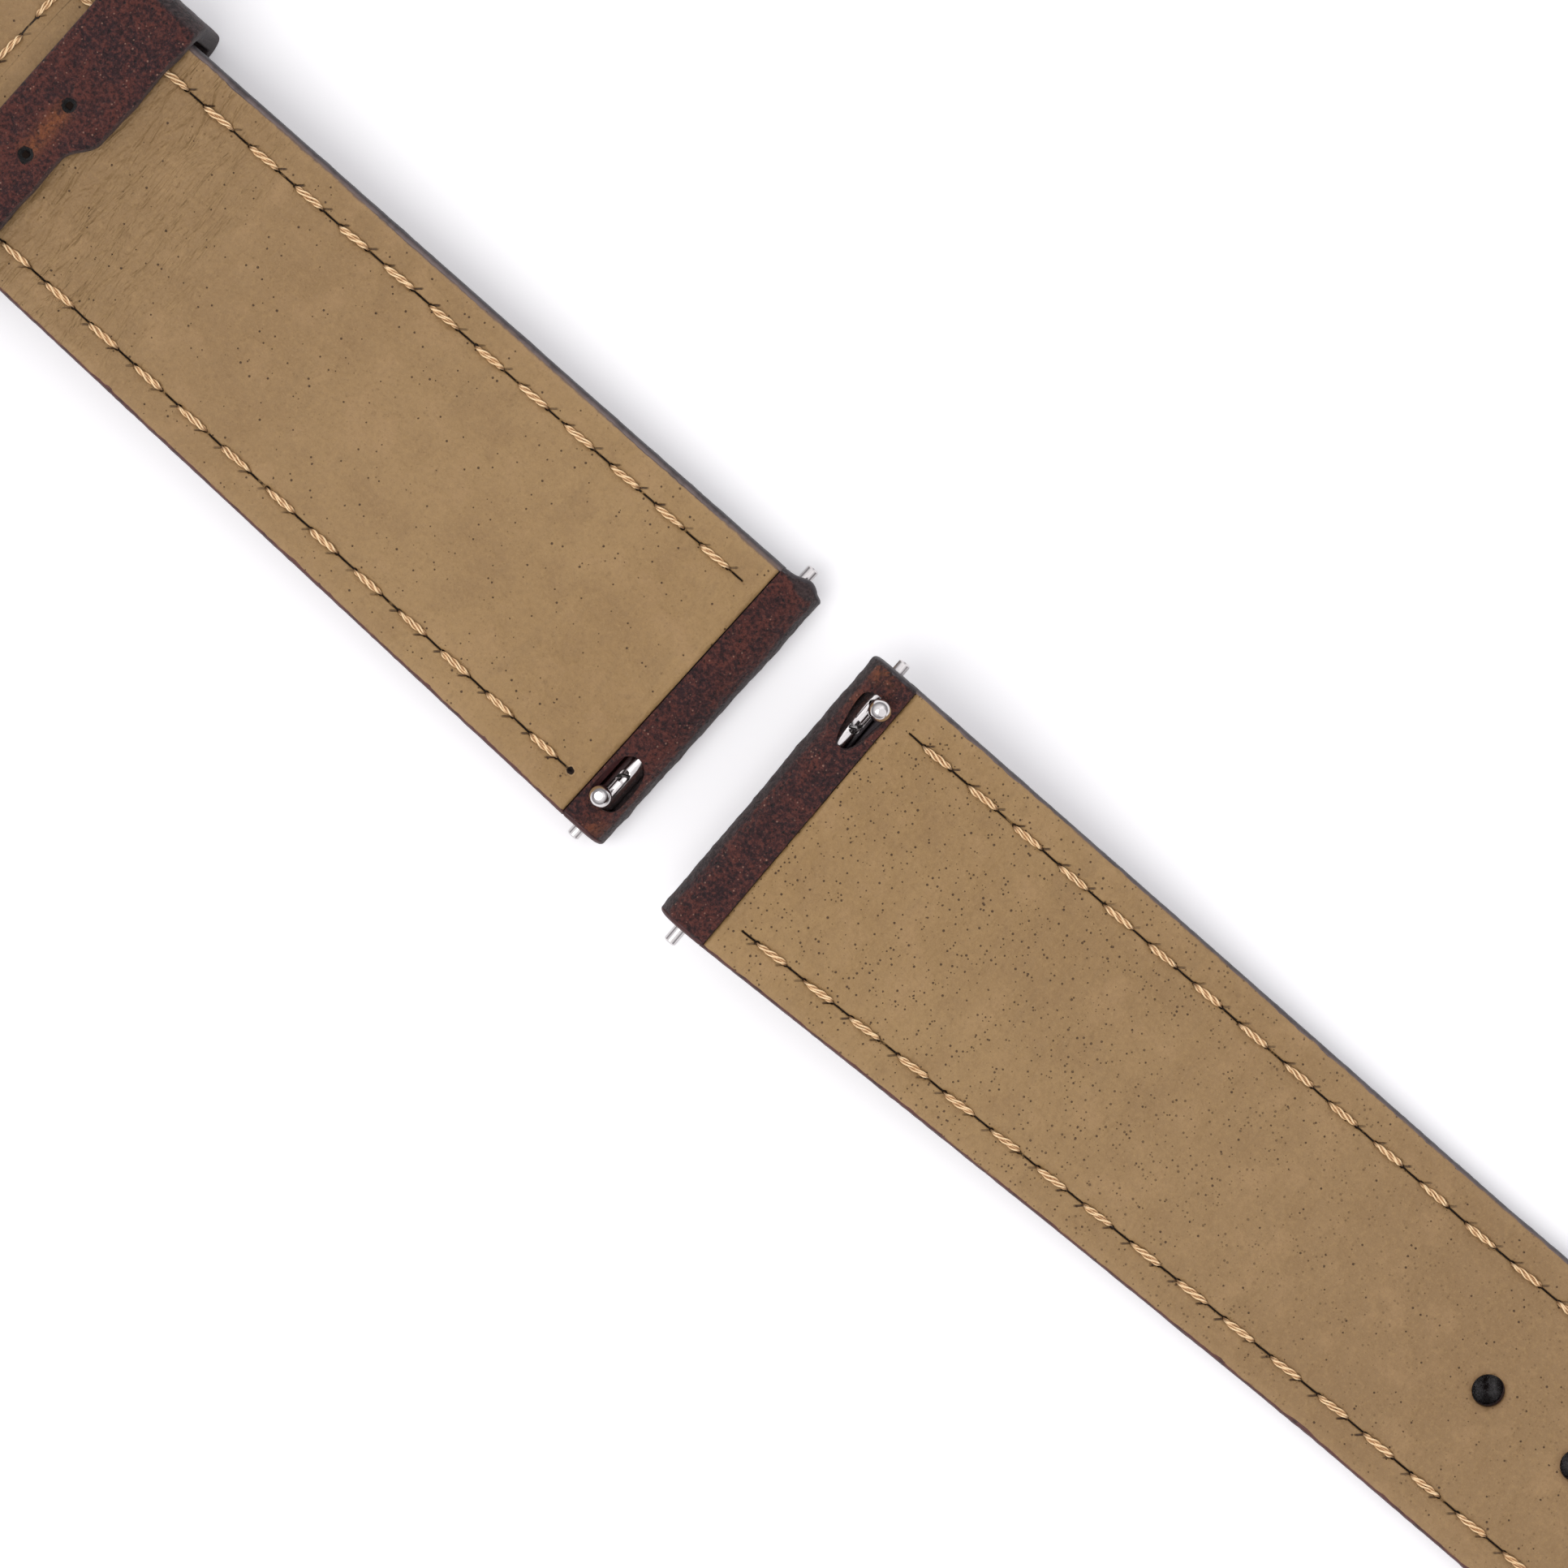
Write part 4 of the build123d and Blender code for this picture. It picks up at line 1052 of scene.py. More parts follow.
def upper_rows(half):
    """Rows of the upper, from its strip's inner edge round the fold to its far end. Gives the plan and, for
    each row, the outer face's level where it is folded, the inner face's place and level, and the distance
    from the strip's inner edge."""
    fold_s, fold_n, fold_in_s, fold_in_n = fold_path(LUG_RADIUS, UPPER_LEATHER, FOLD_STEP)
    end = half.length - STRIP_WIDTH
    body = [part[1:] for part in side_outline(half, STRIP_WIDTH, end, OUTER_STEP)]
    flat = body[0] * np.nan
    rows = [
        (straight_side(fold_s, half_width(half, STRIP_WIDTH)), fold_n, fold_in_s, fold_in_n,
         run_of(fold_s, fold_n) - STRIP_WIDTH),
        (body, flat, body[0], flat, body[0] * 0 + FAR),
    ]
    if half.turned_tail:
        tail = fold_path(TAIL_RADIUS, SKIVED_LEATHER, TAIL_FOLD_STEP)
        tail_s, tail_n, tail_in_s, tail_in_n = [part[::-1][1:] for part in tail]
        rows.append((straight_side(half.length - tail_s, half_width(half, end)), tail_n,
                     half.length - tail_in_s, tail_in_n, tail_s * 0 + FAR))
    outline = [np.concatenate([row[0][i] for row in rows]) for i in range(4)]
    levels = [np.concatenate([row[i] for row in rows])[:, None] for i in (1, 2, 3, 4)]
    near_window = np.linspace(0.99, 0.58, 22)
    plan = plan_of(outline, np.concatenate([near_window, np.linspace(0.54, -0.96, 38)]))
    return plan, *levels


def upper_marks(plan, is_fold, from_edge, bulge, seed):
    """How worn and how painted each place of an upper is."""
    patch = rough(seed, (2.2, 0.5))(plan.s, plan.y)
    corner = np.exp(-((plan.y - 8.6) / 1.6) ** 2 - ((plan.s - 1.0) / 0.9) ** 2) * 0.7
    worn = np.where(is_fold & (from_edge < 3), corner * np.clip(0.5 + patch, 0, 1), 0)
    nose = np.where(is_fold & (plan.s < LUG_RADIUS), ease(0, 1, (0.6 - plan.s) / 0.5), 0)
    sides = ease(0, 1, (0.45 - plan.inset) / 0.3)
    return worn, np.clip(nose * 0.9 + sides * 0.8 + np.clip(-bulge / 0.25, 0, 1), 0, 1)


def make_upper(half, seed):
    """Burgundy upper: the turned strip, the fold and the padded outer face."""
    plan, fold_n, inner_s, inner_n, from_edge = upper_rows(half)
    is_fold = ~np.isnan(fold_n)
    outer_n = np.where(is_fold, np.nan_to_num(fold_n), -outer_depth(half, plan.s, plan.y))
    under_n = np.where(is_fold, np.nan_to_num(inner_n), outer_n + upper_thickness(half, plan.s))
    under_s = np.where(is_fold, inner_s, plan.s)
    waves = rough(seed, (5, 0.03), (1.3, 0.02), (0.55, 0.016))
    reach = np.cumsum(np.hypot(np.diff(plan.s[:, 0], prepend=plan.s[0, 0]),
                               np.diff(np.nan_to_num(fold_n[:, 0]), prepend=0)))[:, None]
    drop = round_over(plan.inset, UPPER_EDGE_ROUND)
    drop = drop + waves(reach + 0 * plan.s, plan.y) * np.clip(plan.inset / 0.4, 0, 1)
    row = seam_relief(plan.s, plan.inset - ROW_INSET, ROW_START, half.stitches + 4)
    drop = drop + np.where(~is_fold & (plan.s > STRIP_WIDTH) & is_sewn(half, plan.s), row, 0)
    thickness = np.hypot(under_s - plan.s, under_n - outer_n)
    share = np.clip(drop / thickness, -0.5, 0.9)
    top_s = plan.s + (under_s - plan.s) * share
    top_n = outer_n + (under_n - outer_n) * share
    bulge = corner_bulge(half, plan.s, plan.y, outer_n)
    worn, painted = upper_marks(plan, is_fold, from_edge, bulge, seed + 5)
    obj = make_slab(half.name + "_upper_skin", laid(half, top_s, plan.y + bulge, top_n),
                    laid(half, under_s, plan.y, under_n), SUEDE, pointed=not half.turned_tail,
                    worn=worn, painted=painted, crease=0)
    weld(obj)
    cutters = [(outline, -6, 1) for outline in openings(half)]
    cut_keeping_values(obj, half, [(window_outline(half), -LUG_RADIUS, 1)] + cutters)
    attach(obj, half.name + "_strap")
    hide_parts(half.name + "_upper")


# Painted edges and the filler between the layers


def ring_faces(rings, around, caps):
    """Faces of a tube made of closed rings, with its ends filled if caps is set, or joined if it isn't."""
    faces = []
    for r in range(rings - 1 if caps else rings):
        after = (r + 1) % rings
        for c in range(around):
            d = (c + 1) % around
            faces.append((r * around + c, r * around + d, after * around + d, after * around + c))
    if caps:
        faces.append(tuple(range(around))[::-1])
        faces.append(tuple(range((rings - 1) * around, rings * around)))
    return faces


def side_band(half, hand, seed):
    """Painted edge along one side, lapping a little over the lining."""
    start = STRIP_WIDTH - 0.05
    end = half.length - start
    s, y, a, b = side_outline(half, start, end, 0.3)
    thickness = edge_thickness(half, s)
    lumps = rough(seed, (3, 0.016), (0.9, 0.012))
    lap_wave = rough(seed + 1, (2.2, 0.04), (0.7, 0.03))
    rings = []
    over = (1.0, 0.7, 0.4, 0.2, 0.06)
    reach = WIDE_LAP_REACH if world_side(half, hand) > 0 and half.turned_tail else LAP_REACH
    for k, share in enumerate(over):
        inset = np.clip((reach + lap_wave(s, 0)) * share, 0.01, 0.7)
        rings.append((inset, -round_over(inset, LINING_EDGE_ROUND) + PAINT_LIFT - 0.02 * (k == 0)))
    swell = PAINT_PROUD + np.abs(lumps(s, hand * 5.0))
    for share in (0, 0.25, 0.5, 0.75, 1):
        level = -LINING_EDGE_ROUND - 0.05 - (thickness - 2 * LINING_EDGE_ROUND - 0.1) * share
        rings.append((-swell - 0.02 * math.sin(math.pi * share), level))
    for k, share in enumerate(over[::-1]):
        inset = np.clip((0.24 + lap_wave(s, 3)) * share, 0.01, 0.29)
        level = -thickness + round_over(inset, UPPER_EDGE_ROUND) - PAINT_LIFT + 0.02 * (k == 4)
        rings.append((inset, level))
    rings.append((s * 0 + BAND_DEPTH, -thickness + BAND_INSIDE))
    rings.append((s * 0 + BAND_DEPTH, s * 0 - BAND_INSIDE))
    points = np.stack([laid(half, s + a * inset, hand * (y + b * inset), n) for inset, n in rings], axis=1)
    count, around = points.shape[:2]
    obj = new_piece("band", points, ring_faces(count, around, True), PAINT)
    lap = np.zeros(around)
    lap[:len(over)] = (1, 1, 0.7, 0.2, 0)
    set_values(obj, lap=np.tile(lap, count))
    return obj


def fold_plate(half, hand, radius, at_tail):
    """Painted side of a fold, with the hole that the bar's tunnel leaves."""
    s, n, _, _ = fold_path(radius, UPPER_LEATHER, 0.12)
    wall = np.linspace(n[-1], 0, 14)[1:-1]
    s = np.concatenate([s, wall * 0 + STRIP_WIDTH])
    n = np.concatenate([n, wall])
    away = np.stack([s - radius, n + radius], axis=1)
    reach = np.linalg.norm(away, axis=1)
    unit = away / reach[:, None]
    place = half.length - STRIP_WIDTH if at_tail else STRIP_WIDTH
    width = float(half_width(half, place))
    columns = []
    for inset in (0.24, 0.15, 0.08, 0.03):
        columns.append((reach - round_over(np.array(inset), UPPER_EDGE_ROUND) + PAINT_LIFT, inset))
    for share in (0, 0.3, 0.6, 0.9):
        distance = (reach - 0.33) * (1 - share) + (TUNNEL_RADIUS + 0.06) * share
        columns.append((distance, -PAINT_PROUD - 0.02 * math.sin(math.pi * share)))
    columns.append((reach * 0 + TUNNEL_RADIUS, 0.03))
    columns.append((reach * 0 + TUNNEL_RADIUS, 0.5))
    points = []
    for distance, inset in columns:
        ring_s = radius + unit[:, 0] * distance
        ring_n = -radius + unit[:, 1] * distance
        ring_y = hand * (width - inset) + ring_s * 0
        if not at_tail:
            ring_y = ring_y + corner_bulge(half, ring_s, ring_y, ring_n)
        points.append(laid(half, half.length - ring_s if at_tail else ring_s, ring_y, ring_n))
    points = np.stack(points, axis=1)
    rings, around = points.shape[:2]
    return new_piece("plate", points, ring_faces(rings, around, False), PAINT)


def core(half):
    """Filler between the lining and the upper."""
    start = 2 * LUG_RADIUS - TUNNEL_RADIUS
    plan = plan_of(side_outline(half, start, half.length - start, 1.0), 6, (0.12, 1.2, 2.4, EDGE_STRIP))
    upper_inside = upper_thickness(half, plan.s) - outer_depth(half, plan.s, plan.y)
    under = np.minimum(upper_inside - 0.01, -LINING_LEATHER - 0.02)
    top = plan.s * 0 - LINING_LEATHER - 0.005
    obj = make_slab("core", laid(half, plan.s, plan.y, top), laid(half, plan.s, plan.y, under), PAINT,
                    pointed=not half.turned_tail)
    weld(obj)
    for outline in openings(half):
        cut(obj, half, outline, -6, 1)
    return obj


def make_edges(half, seed):
    """Painted edges, fold sides and filler of one half, as one piece."""
    parts = [core(half)]
    for hand in (1, -1):
        parts.append(side_band(half, hand, seed + hand))
        parts.append(fold_plate(half, hand, LUG_RADIUS, False))
        if half.turned_tail:
            parts.append(fold_plate(half, hand, TAIL_RADIUS, True))
    for part in parts[1:]:
        weld(part, 0.001)
    obj = join(parts, half.name + "_painted_edges")
    world = np.array([v.co for v in obj.data.vertices])
    inverse = np.array(half.matrix.inverted())
    local_y = (world / MM) @ inverse[1, :3] + inverse[1, 3]
    set_values(obj, side=world_side(half, local_y))
    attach(obj, half.name + "_strap")
    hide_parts(half.name + "_filler")


# Stitches


def strand_points(centre, across, up, radius):
    """Rings of points round a strand's centre line."""
    ring = np.cos(RING_ANGLES)[None, :, None] * across[:, None, :]
    ring = ring + np.sin(RING_ANGLES)[None, :, None] * up[:, None, :]
    return centre[:, None, :] + ring * radius[:, None, None]


def stitch_strands(path, start, end, draw, lean):
    """Two plies of one visible stitch. path gives a point from a run, an offset and a height."""
    stations = 26
    share = np.linspace(0, 1, stations)
    run = start - 0.1 + (end - start + 0.2) * share
    dive = ease(1, 0, np.minimum(share, 1 - share) / 0.16)
    rise = draw.uniform(-0.012, 0.02)
    height = PLY_HEIGHT + rise + 0.03 * np.sin(math.pi * share) - STITCH_DIVE * dive ** 1.4
    slant = lean * 0.05 * (run - (start + end) / 2) + draw.uniform(-0.02, 0.02)
    first = draw.uniform(-0.5, 0.5)
    turns = draw.uniform(0.28, 0.5)
    strands = []
    for ply in (0, math.pi):
        angle = first + ply + 2 * math.pi * turns * (share - 0.5)
        narrow = (1 - 0.5 * dive) * (0.8 + 0.3 * np.sin(math.pi * share * draw.uniform(0.7, 1.3)))
        start_turn = draw.uniform(0, 2 * math.pi)
        for strand in range(STRANDS_IN_PLY):
            spin = start_turn + 2 * math.pi * (strand / STRANDS_IN_PLY + PLY_TURNS * share)
            off = slant + PLY_SPACING * np.cos(angle) * narrow + STRAND_RADIUS * np.cos(spin) * narrow
            lift = height + PLY_SPACING * 0.4 * np.sin(angle) * narrow + STRAND_RADIUS * np.sin(spin) * narrow
            centre = path(run, off, lift)
            across = path(run, off + 0.05, lift) - centre
            up = path(run, off, lift + 0.05) - centre
            across = across / np.linalg.norm(across, axis=1, keepdims=True)
            up = up / np.linalg.norm(up, axis=1, keepdims=True)
            radius = STRAND_RADIUS * (1 - 0.35 * dive) * draw.uniform(0.9, 1.1)
            # Which way each ring faces in its ply, for the thread's painted highlight and shade.
            facing = np.cos(RING_ANGLES[None, :] - spin[:, None])
            strands.append((strand_points(centre, across, up, radius), dive, facing))
    return strands


def thread_piece(name, strands, half, node):
    """One mesh of all the strands of a row."""
    points, faces, dives, outward = [], [], [], []
    count = 0
    for rings, dive, facing in strands:
        stations, sides = rings.shape[:2]
        faces += [tuple(count + i for i in face) for face in ring_faces(stations, sides, True)]
        points.append(rings.reshape(-1, 3))
        dives.append(np.repeat(dive, sides))
        outward.append(facing.ravel())
        count += stations * sides
    obj = new_piece(name, np.concatenate(points), faces, THREAD)
    set_values(obj, dive=np.concatenate(dives), facing=np.concatenate(outward))
    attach(obj, half.name + "_strap")
    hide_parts(node)


def face_level(half, s, y, side, lift, sunk=THREAD_PROUD):
    """Height of a face of the half, plus a lift away from it. The outer face's rows lie deeper by sunk."""
    if side > 0:
        return lift
    return -outer_depth(half, s, y) - lift + sunk


def side_path(half, hand, side):
    """Line of a side row as a function of its run, an offset to the outside and a height."""
    s, y, a, b = side_outline(half, STRIP_WIDTH, half.length - STRIP_WIDTH, 0.3)
    row_s, row_y = s + a * ROW_INSET, y + b * ROW_INSET
    along = run_of(row_s, row_y)

    def path(run, off, lift):
        out_s, out_y = -np.interp(run, along, a), -np.interp(run, along, b)
        place_s = np.interp(run, along, row_s) + out_s * off
        place_y = np.interp(run, along, row_y) + out_y * off
        return laid(half, place_s, hand * place_y, face_level(half, place_s, place_y, side, lift))

    return path, along[-1]


def make_side_rows(half, hand, seed):
    """Both faces' stitches along one side."""
    draw = np.random.default_rng(seed)
    starts = [ROW_START + i * STITCH_PITCH for i in range(half.stitches)]
    strands = []
    for side in (1, -1):
        path, _ = side_path(half, hand, side)
        for start in starts:
            jitter = draw.uniform(-0.05, 0.05)
            longer = draw.uniform(-0.06, 0.12)
            end = start + STITCH_LENGTH + longer + jitter
            strands += stitch_strands(path, start + jitter, end, draw, hand)
    side = "left" if hand > 0 else "right"
    thread_piece(f"{half.name}_stitches_{side}", strands, half, f"{half.name}_thread_{side}")


def make_cross_rows(seed):
    """Stitches across the short half, by the keepers."""
    draw = np.random.default_rng(seed)
    strands = []
    for place in CROSS_ROW_PLACES:
        for side in (1, -1):

            def path(run, off, lift):
                level = face_level(SHORT, place + off, run, side, lift, 0)
                return laid(SHORT, place + off, run, level)

            for i in range(CROSS_STITCHES):
                start = -CROSS_ROW_REACH + i * STITCH_PITCH
                strands += stitch_strands(path, start, start + STITCH_LENGTH, draw, 1)
    thread_piece("short_stitches_cross", strands, SHORT, "short_thread_cross")


def make_tip_rows(seed):
    """Stitches round the long half's tip."""
    draw = np.random.default_rng(seed)
    strands = []
    for side in (1, -1):
        for hand in (1, -1):
            path, last = side_path(LONG, hand, side)
            for start in TIP_STARTS:
                strands += stitch_strands(path, start, min(start + STITCH_LENGTH, last - 0.2), draw, hand)
        apex = side_outline(LONG, STRIP_WIDTH, LONG_LENGTH, 0.3)[0][-1] - ROW_INSET
        bend = TIP_ROUND - ROW_INSET

        def path(run, off, lift):
            place = apex - bend + np.sqrt(np.maximum(bend ** 2 - run ** 2, 0.01)) + off
            return laid(LONG, place, run, face_level(LONG, place, run, side, lift))

        strands += stitch_strands(path, -STITCH_LENGTH / 2, STITCH_LENGTH / 2, draw, 0)
    thread_piece("long_stitches_tip", strands, LONG, "long_thread_tip")


# Keepers


def rounded_loop(half_width_here, top, bottom, top_corner, bottom_corner, step):
    """Points round a rounded rectangle in (y, n), with as many on each side whatever its size."""
    y, n = [], []
    corners = ((1, top, top_corner, 90), (1, bottom, bottom_corner, 0),
               (-1, bottom, bottom_corner, -90), (-1, top, top_corner, -180))
    runs = (round((top - bottom) / step), round(2 * half_width_here / step),
            round((top - bottom) / step), round(2 * half_width_here / step))
    arcs = []
    for hand, level, corner, first in corners:
        middle_y = hand * (half_width_here - corner)
        middle_n = level - corner if level == top else level + corner
        angle = np.radians(first - np.linspace(0, 90, 12))
        arcs.append((middle_y + corner * np.cos(angle), middle_n + corner * np.sin(angle)))
    for i, count in enumerate(runs):
        after = arcs[(i + 1) % 4]
        y.append(arcs[i][0])
        n.append(arcs[i][1])
        share = np.linspace(0, 1, count + 1)[1:-1]
        y.append(arcs[i][0][-1] + (after[0][0] - arcs[i][0][-1]) * share)
        n.append(arcs[i][1][-1] + (after[1][0] - arcs[i][1][-1]) * share)
    return np.concatenate(y), np.concatenate(n)


def same_count_loops(outer, inner, step):
    """Outer and inner outline of a leather loop with matching points."""
    outer_y, outer_n = rounded_loop(*outer, step)
    inner_y, inner_n = rounded_loop(*inner, step)
    old = np.linspace(0, 1, len(inner_y) + 1)
    ring_y, ring_n = np.append(inner_y, inner_y[0]), np.append(inner_n, inner_n[0])
    dense = np.linspace(0, 1, 4000, endpoint=False)
    dense_y, dense_n = np.interp(dense, old, ring_y), np.interp(dense, old, ring_n)
    shrunk_y = outer_y * inner[0] / outer[0]
    shrink = (inner[1] - inner[2]) / (outer[1] - outer[2])
    shrunk_n = (outer_n - (outer[1] + outer[2]) / 2) * shrink + (inner[1] + inner[2]) / 2
    away = (dense_y - shrunk_y[:, None]) ** 2 + (dense_n - shrunk_n[:, None]) ** 2
    nearest = np.argmin(away, axis=1)
    return outer_y, outer_n, dense_y[nearest], dense_n[nearest]


def keeper_mesh(name, start, width, outer, inner, near_edge, seed, marks):
    """Leather loop: rounded edges, uneven faces, and a near edge that can step."""
    outer_y, outer_n, inner_y, inner_n = same_count_loops(outer, inner, 0.17)
    share = np.concatenate([[0, .008, .02, .04, .07], np.linspace(0.1, 0.9, 25), [.93, .96, .98, .992, 1]])
    near = near_edge(outer_y)[:, None]
    x = near + (width - near) * share[None, :]
    from_edge = np.minimum(x - near, width - x)
    waves = rough(seed, (4, 0.03), (1.2, 0.018), (0.45, 0.008))
    steps = np.hypot(np.diff(outer_y, prepend=outer_y[0]), np.diff(outer_n, prepend=outer_n[0]))
    turned = np.cumsum(steps)[:, None]
    drop = round_over(from_edge, 0.3) + waves(x, turned) * np.clip(from_edge / 0.4, 0, 1)
    values = marks(x, outer_y[:, None] + 0 * x, outer_n[:, None] + 0 * x)
    drop = drop + values.pop("pressed")
    gap_y, gap_n = (inner_y - outer_y)[:, None], (inner_n - outer_n)[:, None]
    thickness = np.hypot(gap_y, gap_n)
    outward = np.clip(drop / thickness, -0.4, 0.8)
    inward = 1 - np.clip(round_over(from_edge, 0.12) / thickness, 0, 0.4)
    top = laid(SHORT, start + x, outer_y[:, None] + gap_y * outward, outer_n[:, None] + gap_n * outward)
    under = laid(SHORT, start + x, outer_y[:, None] + gap_y * inward, outer_n[:, None] + gap_n * inward)
    obj = make_slab(name, top, under, KEEPER_SUEDE, closed=True, **values)
    weld(obj)
    return obj


def keeper_paint(y, opening, from_edge):
    """Paint on a keeper: its sides whole, and less along its edges."""
    near_side = ease(0, 1, (np.abs(y) - opening + 0.2) / 0.9)
    return np.clip(near_side + ease(0.5, 0, from_edge / 0.3), 0, 1)


def make_floating_keeper():
    """Loop that slides, with its lap stepped and pressed by the staple's legs."""
    middle = FLOATING_KEEPER_START + FLOATING_KEEPER_WIDTH / 2
    opening = float(half_width(SHORT, middle)) + KEEPER_SIDE_CLEARANCE
    top, bottom = KEEPER_TOP_CLEARANCE, -KEEPER_OPENING
    outer = (opening + KEEPER_LEATHER, top + KEEPER_LEATHER, bottom - KEEPER_LEATHER, 1.25, 1.25)
    inner = (opening, top, bottom, 0.5, 0.5)
    wobble = rough(31, (5, 0.05), (1.7, 0.025))

    def near_edge(y):
        return ease(0, LAP_STEP, (y - LAP_STEP_PLACE + LAP_STEP_LENGTH / 2) / LAP_STEP_LENGTH) + wobble(y, 0)

    def marks(x, y, n):
        on_top = n > top
        pressed, holes = x * 0, x * 0
        for hand in (1, -1):
            place = hand * STAPLE_HALF_SPAN - STAPLE_SHIFT
            away = np.hypot(x - STAPLE_PLACE, y - place)
            pressed = pressed + np.where(on_top, STAPLE_DENT * np.exp(-(away / 0.34) ** 2), 0)
            # Painted shade: the staple holes, which the suede draws black.
            holes = np.maximum(holes, np.where(on_top, np.exp(-(away / 0.46) ** 4), 0))
        between = ease(1, 0, (np.abs(y + STAPLE_SHIFT) - STAPLE_HALF_SPAN + 0.2) / 0.5)
        line = np.exp(-((x - STAPLE_PLACE) / 0.5) ** 2) * between
        pressed = pressed + np.where(on_top, 0.05 * line, 0)
        painted = keeper_paint(y, opening, np.minimum(x - near_edge(y), FLOATING_KEEPER_WIDTH - x))
        return {"pressed": pressed, "crease": holes, "worn": np.where(on_top, line, 0), "painted": painted}

    obj = keeper_mesh("floating_keeper_loop", FLOATING_KEEPER_START, FLOATING_KEEPER_WIDTH, outer, inner,
                      near_edge, 41, marks)
    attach(obj, "keeper")
    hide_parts("floating_keeper")


def make_fixed_keeper():
    """Loop sewn in under the lining."""
    middle = FIXED_KEEPER_START + FIXED_KEEPER_WIDTH / 2
    opening = float(half_width(SHORT, middle)) + FIXED_KEEPER_SIDE_GAP
    top = -LINING_LEATHER - FIXED_KEEPER_SEWN_LEATHER
    outer = (opening + KEEPER_LEATHER, -LINING_LEATHER - 0.01, -KEEPER_OPENING - KEEPER_LEATHER, 0.3, 1.25)
    inner = (opening, top, -KEEPER_OPENING, 0.1, 0.4)

    def near_edge(y):
        return y * 0

    def marks(x, y, n):
        painted = keeper_paint(y, opening, np.minimum(x, FIXED_KEEPER_WIDTH - x))
        return {"pressed": 0, "crease": 0, "worn": 0, "painted": painted}

    obj = keeper_mesh("fixed_keeper_loop", FIXED_KEEPER_START, FIXED_KEEPER_WIDTH, outer, inner,
                      near_edge, 51, marks)
    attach(obj, "short_strap")
    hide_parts("fixed_keeper")


for half, seed in ((SHORT, 3), (LONG, 8)):
    make_lining(half, seed)
    make_upper(half, seed + 20)
    make_edges(half, seed + 40)
    for hand in (1, -1):
        make_side_rows(half, hand, seed * 10 + hand)
make_cross_rows(71)
make_tip_rows(72)
make_floating_keeper()
make_fixed_keeper()


# Metal


def make_spring(name, node, body, joint, start, end, travel):
    """The CAD's coil from start to end of its length, capped where it is cut."""
    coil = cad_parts[node]
    mesh = bmesh.new()
    mesh.from_mesh(coil.data)
    mesh.transform(coil.matrix_world)
    way = (end - start).normalized()
    for place, direction in ((start, -way), (end, way)):
        bmesh.ops.bisect_plane(mesh, geom=mesh.verts[:] + mesh.edges[:] + mesh.faces[:], plane_co=place,
                               plane_no=direction, clear_outer=True)
    cut_edges = [edge for edge in mesh.edges if edge.is_boundary]
    if cut_edges:
        bmesh.ops.holes_fill(mesh, edges=cut_edges)
    data = bpy.data.meshes.new(name)
    mesh.to_mesh(data)
    mesh.free()
    obj = bpy.data.objects.new(name, data)
    bpy.context.scene.collection.objects.link(obj)
    data.materials.append(WIRE)
    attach(obj, body)
    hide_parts(node)
    kept = 1 - travel * MM / (end - start).length
    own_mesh(obj)


def box_middle(node):
    """Middle of a CAD piece's box."""
    low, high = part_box(node)
    return (Vector(low) + Vector(high)) / 2


def coil_ends(node, across):
    """First and last point of a CAD coil along its axis, through the middle of its box."""
    middle = box_middle(node)
    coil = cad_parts[node]
    places = [(coil.matrix_world @ v.co - middle).dot(across) for v in coil.data.vertices]
    return middle + across * min(places), middle + across * max(places)


def make_springs():
    """Coils of the three spring bars."""
    for half in (SHORT, LONG):
        node = half.name + "_bar_spring"
        way = box_middle(half.name + "_bar_knob") - box_middle(half.name + "_bar_barrel")
        across = Vector(half.matrix.to_3x3() @ Vector((0, 1, 0)))
        across = across * (1 if way.dot(across) > 0 else -1)
        make_spring(half.name + "_spring_coil", node, half.name + "_release_bar",
                    half.name + "_plunger_slide", *coil_ends(node, across), PLUNGER_TRAVEL)
    node = "buckle_bar_spring"
    across = (box_middle("buckle_bar_tip_left") - box_middle("buckle_bar_tip_right")).normalized()
    right_end, left_end = coil_ends(node, across)
    for side, end in (("left", left_end), ("right", right_end)):
        make_spring("buckle_spring_coil_" + side, node, "buckle", f"buckle_tip_{side}_slide",
                    box_middle(node), end, BUCKLE_TIP_TRAVEL)


METALS = {
    "_bar_barrel": CHROME, "_bar_fixed_tip": CHROME, "_bar_plunger": CHROME, "_bar_knob": CHROME,
    "buckle_bar_tip": CHROME, "buckle_frame": BRUSHED, "buckle_tongue": BRUSHED, "keeper_staple": BLACKENED,
}


def finish_metals():
    """Gives the CAD's own metal pieces their materials."""
    for name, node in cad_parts.items():
        for part, material in METALS.items():
            if part in name:
                node.data.materials.clear()
                node.data.materials.append(material)


finish_metals()
make_springs()


# Studio


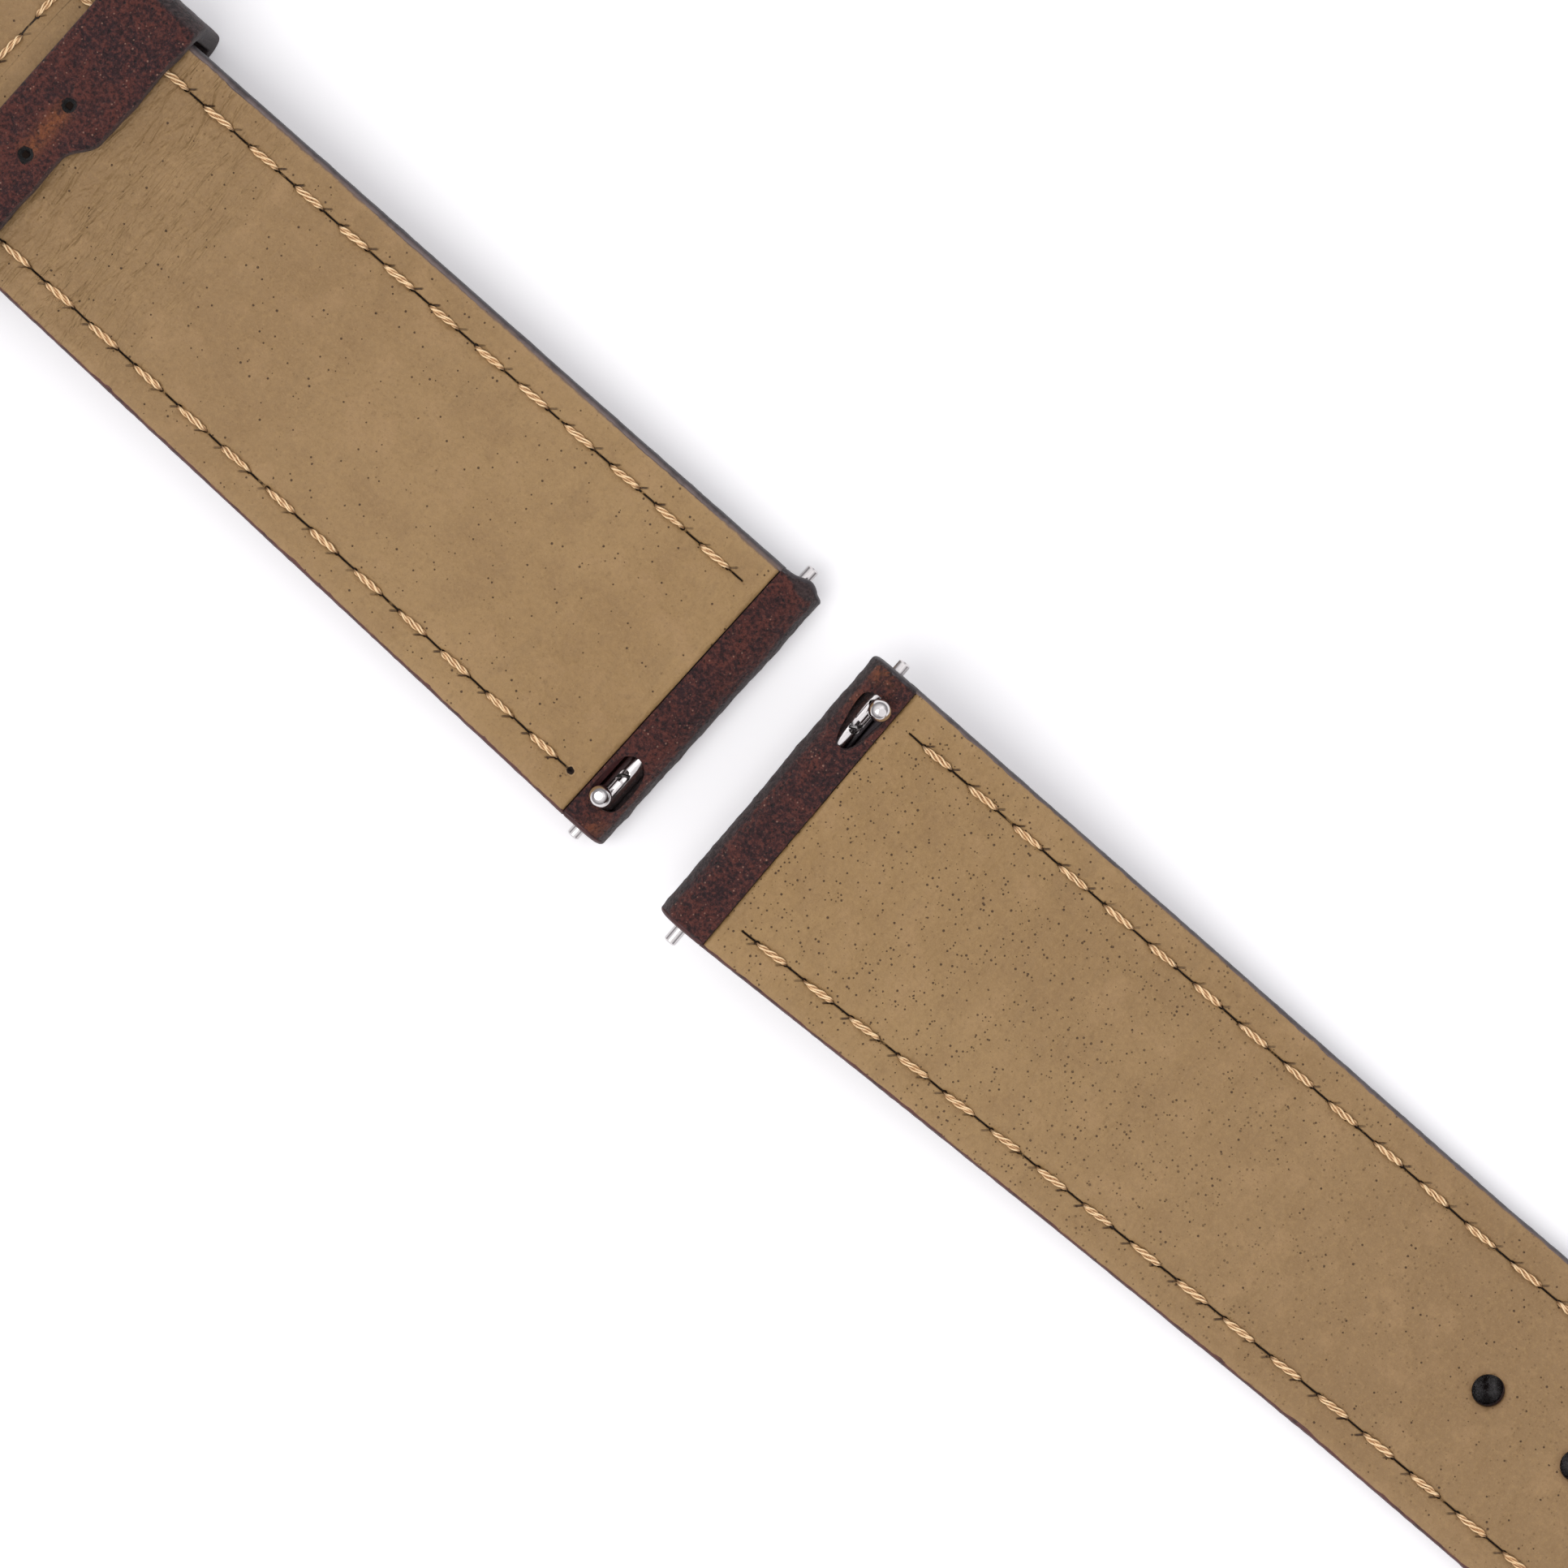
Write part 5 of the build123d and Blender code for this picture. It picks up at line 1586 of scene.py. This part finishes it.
def make_floor():
    """Plain pale floor, just under the strap, with painted shade darkening the bottom of the adjustment
    holes.
    """
    surface = Surface("studio_floor")
    haze = surface.noise(0.02, 2)
    pale = surface.blend(haze, tone(254, 253, 255), tone(255, 255, 255))
    nearby = surface.node("ShaderNodeAmbientOcclusion", {"Distance": 4 * MM}, samples=8).outputs["AO"]
    split = surface.node("ShaderNodeSeparateXYZ", {0: surface.place})
    first = laid(LONG, FIRST_HOLE, 0.0, 0.0)
    under_holes = abs(Value(surface.tree, split.outputs["Y"]) - float(first[1])).within(1.4, 1.7)
    under_holes = under_holes * Value(surface.tree, split.outputs["X"]).beyond(first[0] - 4, first[0] - 3)
    # Painted shade: the closed-in floor under the adjustment holes is drawn near black and gets no lift.
    painted_hole_shade = Value(surface.tree, nearby).within(0.25, 0.5) * under_holes
    colour = surface.blend(painted_hole_shade, pale, tone(30, 24, 24))
    seen = surface.node("ShaderNodeLightPath", {}).outputs["Is Camera Ray"]
    lift = Value(surface.tree, seen) * (painted_hole_shade * -1 + 1) * FLOOR_LIFT
    material = surface.finish(Base_Color=colour, Roughness=0.9, Specular_IOR_Level=0.0,
                              Emission_Color=(0.97, 0.95, 1.0, 1), Emission_Strength=lift)
    ways = ((-1, -1), (1, -1), (1, 1), (-1, 1))
    corners = [(FLOOR_REACH * a, FLOOR_REACH * b, FLOOR_LEVEL) for a, b in ways]
    new_piece("floor", corners, [(0, 1, 2, 3)], material, smooth=False)


def make_world():
    """White to the camera; to the metal a room that is darker low down."""
    world = bpy.data.worlds.new("studio")
    bpy.context.scene.world = world
    world.use_nodes = True
    tree = world.node_tree
    tree.nodes.clear()
    place = tree.nodes.new("ShaderNodeTexCoord")
    split = tree.nodes.new("ShaderNodeSeparateXYZ")
    tree.links.new(place.outputs["Generated"], split.inputs[0])
    ramp = tree.nodes.new("ShaderNodeValToRGB")
    for element, (position, colour) in zip(ramp.color_ramp.elements, MIRRORED_ROOM):
        element.position = position
        element.color = colour
    tree.links.new(split.outputs["Z"], ramp.inputs[0])
    path = tree.nodes.new("ShaderNodeLightPath")
    room = mixed(tree, path.outputs["Is Glossy Ray"], ROOM_LIGHT, ramp.outputs["Color"])
    colour = mixed(tree, path.outputs["Is Camera Ray"], room, (1, 1, 1, 1))
    background = tree.nodes.new("ShaderNodeBackground")
    output = tree.nodes.new("ShaderNodeOutputWorld")
    tree.links.new(colour, background.inputs["Color"])
    tree.links.new(background.outputs[0], output.inputs["Surface"])


def make_lamp(name, place, size, power, colour):
    """Large soft lamp, in millimetres and watts."""
    data = bpy.data.lights.new(name, "AREA")
    data.size = size * MM
    data.energy = power
    data.color = colour
    lamp = bpy.data.objects.new(name, data)
    bpy.context.scene.collection.objects.link(lamp)
    lamp.location = Vector(place) * MM
    lamp.rotation_euler = (Vector(LAMP_AIM) - Vector(place)).to_track_quat("-Z", "Y").to_euler()


def make_camera():
    """Camera of the photograph, over the lug ends."""
    data = bpy.data.cameras.new("camera")
    camera = bpy.data.objects.new("camera", data)
    bpy.context.scene.collection.objects.link(camera)
    bpy.context.scene.camera = camera
    data.sensor_width = SENSOR_WIDTH
    data.lens = CAMERA_LENS
    data.clip_start = 0.01
    data.clip_end = 10
    camera.location = Vector(CAMERA_PLACE) * MM
    camera.rotation_euler = [math.radians(angle) for angle in CAMERA_TURN]


make_floor()
make_world()
for lamp in LAMPS:
    make_lamp(*lamp)
make_camera()
bpy.context.scene.view_settings.view_transform = "Standard"
